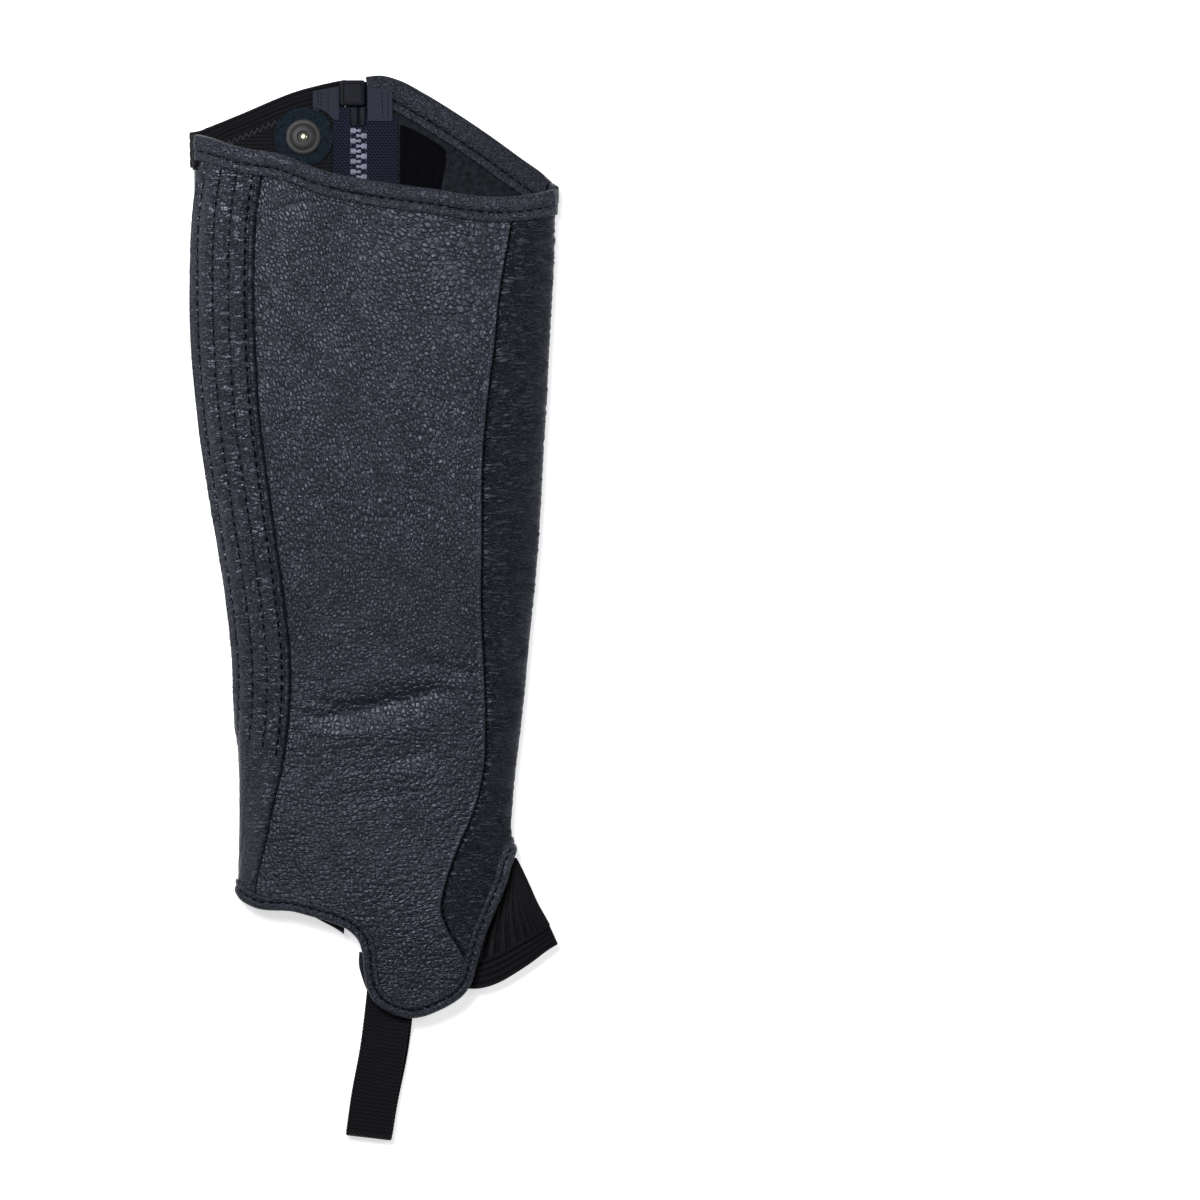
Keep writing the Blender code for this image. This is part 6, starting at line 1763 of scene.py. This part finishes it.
def build_stage():
    """Floor as a wide sheet that rises softly far away, soft lights, and the camera straight above."""
    look = bpy.context.scene.half_chap
    s = np.linspace(-1, 1, 61)
    x, y = np.meshgrid(s * 2.6, s * 2.6)
    far = np.hypot(x, y)
    z = FLOOR_Z * MM + 0.25 * smooth_step(far, 1.9, 2.8)
    points = np.stack([x, y, z], axis=-1) / MM
    made, n, surface = shader("Pale floor")
    tone = n.noise(place_of(n, False), 3.0, 3.0).outputs[0]
    n.tree.links.new(n.mix(tone, look.floor_colour, shade(look.floor_colour, 0.985)), surface.inputs["Base Color"])
    set_plain(surface, Roughness=0.9, Specular_IOR_Level=0.1, Emission_Strength=FLOOR_GLOW)
    surface.inputs["Emission Color"].default_value = (1.0, 1.0, 1.0, 1.0)
    mesh = bpy.data.meshes.new("floor")
    mesh.from_pydata((points.reshape(-1, 3) * MM).tolist(), [], grid_faces(61, 61).tolist())
    mesh.materials.append(made)
    mesh.shade_smooth()
    floor = bpy.data.objects.new("floor", mesh)
    bpy.context.scene.collection.objects.link(floor)

    world = bpy.data.worlds.new("Soft surround")
    world.use_nodes = True
    world.node_tree.nodes["Background"].inputs[0].default_value = (0.93, 0.96, 1.0, 1.0)
    world.node_tree.nodes["Background"].inputs[1].default_value = look.surround
    bpy.context.scene.world = world
    bpy.context.scene.view_settings.view_transform = "Standard"
    for name, place, target, side, share, colour in LIGHTS:
        area_light(name, place, target, side, look.key_power * share, colour)

    camera = bpy.data.cameras.new("camera")
    camera.sensor_fit = "HORIZONTAL"
    camera.sensor_width = 36.0
    camera.lens = 36.0 * (CAMERA_HEIGHT - SUBJECT_Z) / VIEW_WIDTH
    camera.clip_start, camera.clip_end = 0.05, 20.0
    eye = bpy.data.objects.new("camera", camera)
    eye.location = (CAMERA_X * MM, CAMERA_Y * MM, CAMERA_HEIGHT * MM)
    bpy.context.scene.collection.objects.link(eye)
    bpy.context.scene.camera = eye


# ---- settings, operators and panel ----

class HalfChapLook(bpy.types.PropertyGroup):
    """Sizes and colours that a user would change."""

    leather_colour: FloatVectorProperty(
        name="Leather", description="Colour of the grained leather", subtype="COLOR", size=3, min=0.0, max=1.0,
        default=(0.0098, 0.0104, 0.0165),
    )
    elastic_colour: FloatVectorProperty(
        name="Elastic", description="Colour of the elastic and stretch cloth", subtype="COLOR", size=3, min=0.0,
        max=1.0, default=(0.0045, 0.0045, 0.0058),
    )
    floor_colour: FloatVectorProperty(
        name="Floor", description="Colour of the floor", subtype="COLOR", size=3, min=0.0, max=1.0,
        default=(0.97, 0.97, 0.97),
    )
    grain_size: FloatProperty(
        name="Grain", description="Width of a pebble of the grain, in millimetres", default=1.8, min=0.5, max=6.0,
    )
    surround: FloatProperty(
        name="Surround", description="Strength of the light from all sides", default=0.14, min=0.0, max=5.0,
    )
    key_power: FloatProperty(
        name="Key light", description="Power of the large soft light", default=13.0, min=0.0, max=500.0,
        subtype="POWER", unit="POWER",
    )


class HALFCHAP_OT_stage(bpy.types.Operator):
    """Builds the floor, lights and camera"""

    bl_idname = "half_chap.stage"
    bl_label = "Stage"

    def execute(self, context):
        build_stage()
        return {"FINISHED"}


class HALFCHAP_OT_panels(bpy.types.Operator):
    """Builds the leather and cloth panels of both layers"""

    bl_idname = "half_chap.panels"
    bl_label = "Leather panels"

    def execute(self, context):
        f = finishes()
        for build in (build_centre, build_shin, build_strip, build_outer_front, build_outer_back, build_seam_stitches):
            build(f)
        return {"FINISHED"}


class HALFCHAP_OT_edgings(bpy.types.Operator):
    """Builds the folded leather edgings and the elastic band of the mouth"""

    bl_idname = "half_chap.edgings"
    bl_label = "Edgings and band"

    def execute(self, context):
        build_bindings(finishes())
        build_band(finishes())
        return {"FINISHED"}


class HALFCHAP_OT_gusset(bpy.types.Operator):
    """Builds the pleated gusset, its elastic hem and the foot strap"""

    bl_idname = "half_chap.gusset"
    bl_label = "Gusset and strap"

    def execute(self, context):
        build_gusset(finishes())
        build_strap(finishes())
        return {"FINISHED"}


class HALFCHAP_OT_zip(bpy.types.Operator):
    """Builds the zip's tapes, teeth, box and pins"""

    bl_idname = "half_chap.zip"
    bl_label = "Zip"

    def execute(self, context):
        for build in (build_tapes, build_teeth, build_zip_ends):
            build(finishes())
        return {"FINISHED"}


class HALFCHAP_OT_fittings(bpy.types.Operator):
    """Builds the patches at the mouth and the snap"""

    bl_idname = "half_chap.fittings"
    bl_label = "Patches and snap"

    def execute(self, context):
        build_patches(finishes())
        build_snap(finishes())
        return {"FINISHED"}


OPERATORS = (
    HALFCHAP_OT_stage, HALFCHAP_OT_panels, HALFCHAP_OT_edgings, HALFCHAP_OT_gusset, HALFCHAP_OT_zip,
    HALFCHAP_OT_fittings,
)


class HALFCHAP_PT_side(bpy.types.Panel):
    """Lists the settings and the pieces of the half chap"""

    bl_idname = "HALFCHAP_PT_side"
    bl_label = "Half chap"
    bl_space_type = "VIEW_3D"
    bl_region_type = "UI"
    bl_category = "Half chap"

    def draw(self, context):
        look = context.scene.half_chap
        for key in ("leather_colour", "elastic_colour", "floor_colour", "grain_size", "surround", "key_power"):
            self.layout.prop(look, key)
        for operator in OPERATORS:
            self.layout.operator(operator.bl_idname)


CLASSES = (HalfChapLook, *OPERATORS, HALFCHAP_PT_side)


def register():
    """Adds the settings, the operators and the panel."""
    for one in CLASSES:
        bpy.utils.register_class(one)
    bpy.types.Scene.half_chap = PointerProperty(type=HalfChapLook)


def unregister():
    """Removes what register added."""
    del bpy.types.Scene.half_chap
    for one in reversed(CLASSES):
        bpy.utils.unregister_class(one)


def plain(corners):
    """Corners of a box as lists of numbers."""
    return [[float(v) for v in corner] for corner in corners]


def main():
    """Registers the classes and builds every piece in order."""
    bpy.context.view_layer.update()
    register()
    bpy.ops.half_chap.stage()
    bpy.ops.half_chap.panels()
    bpy.ops.half_chap.edgings()
    bpy.ops.half_chap.gusset()
    bpy.ops.half_chap.zip()
    bpy.ops.half_chap.fittings()


if __name__ == "__main__":
    main()
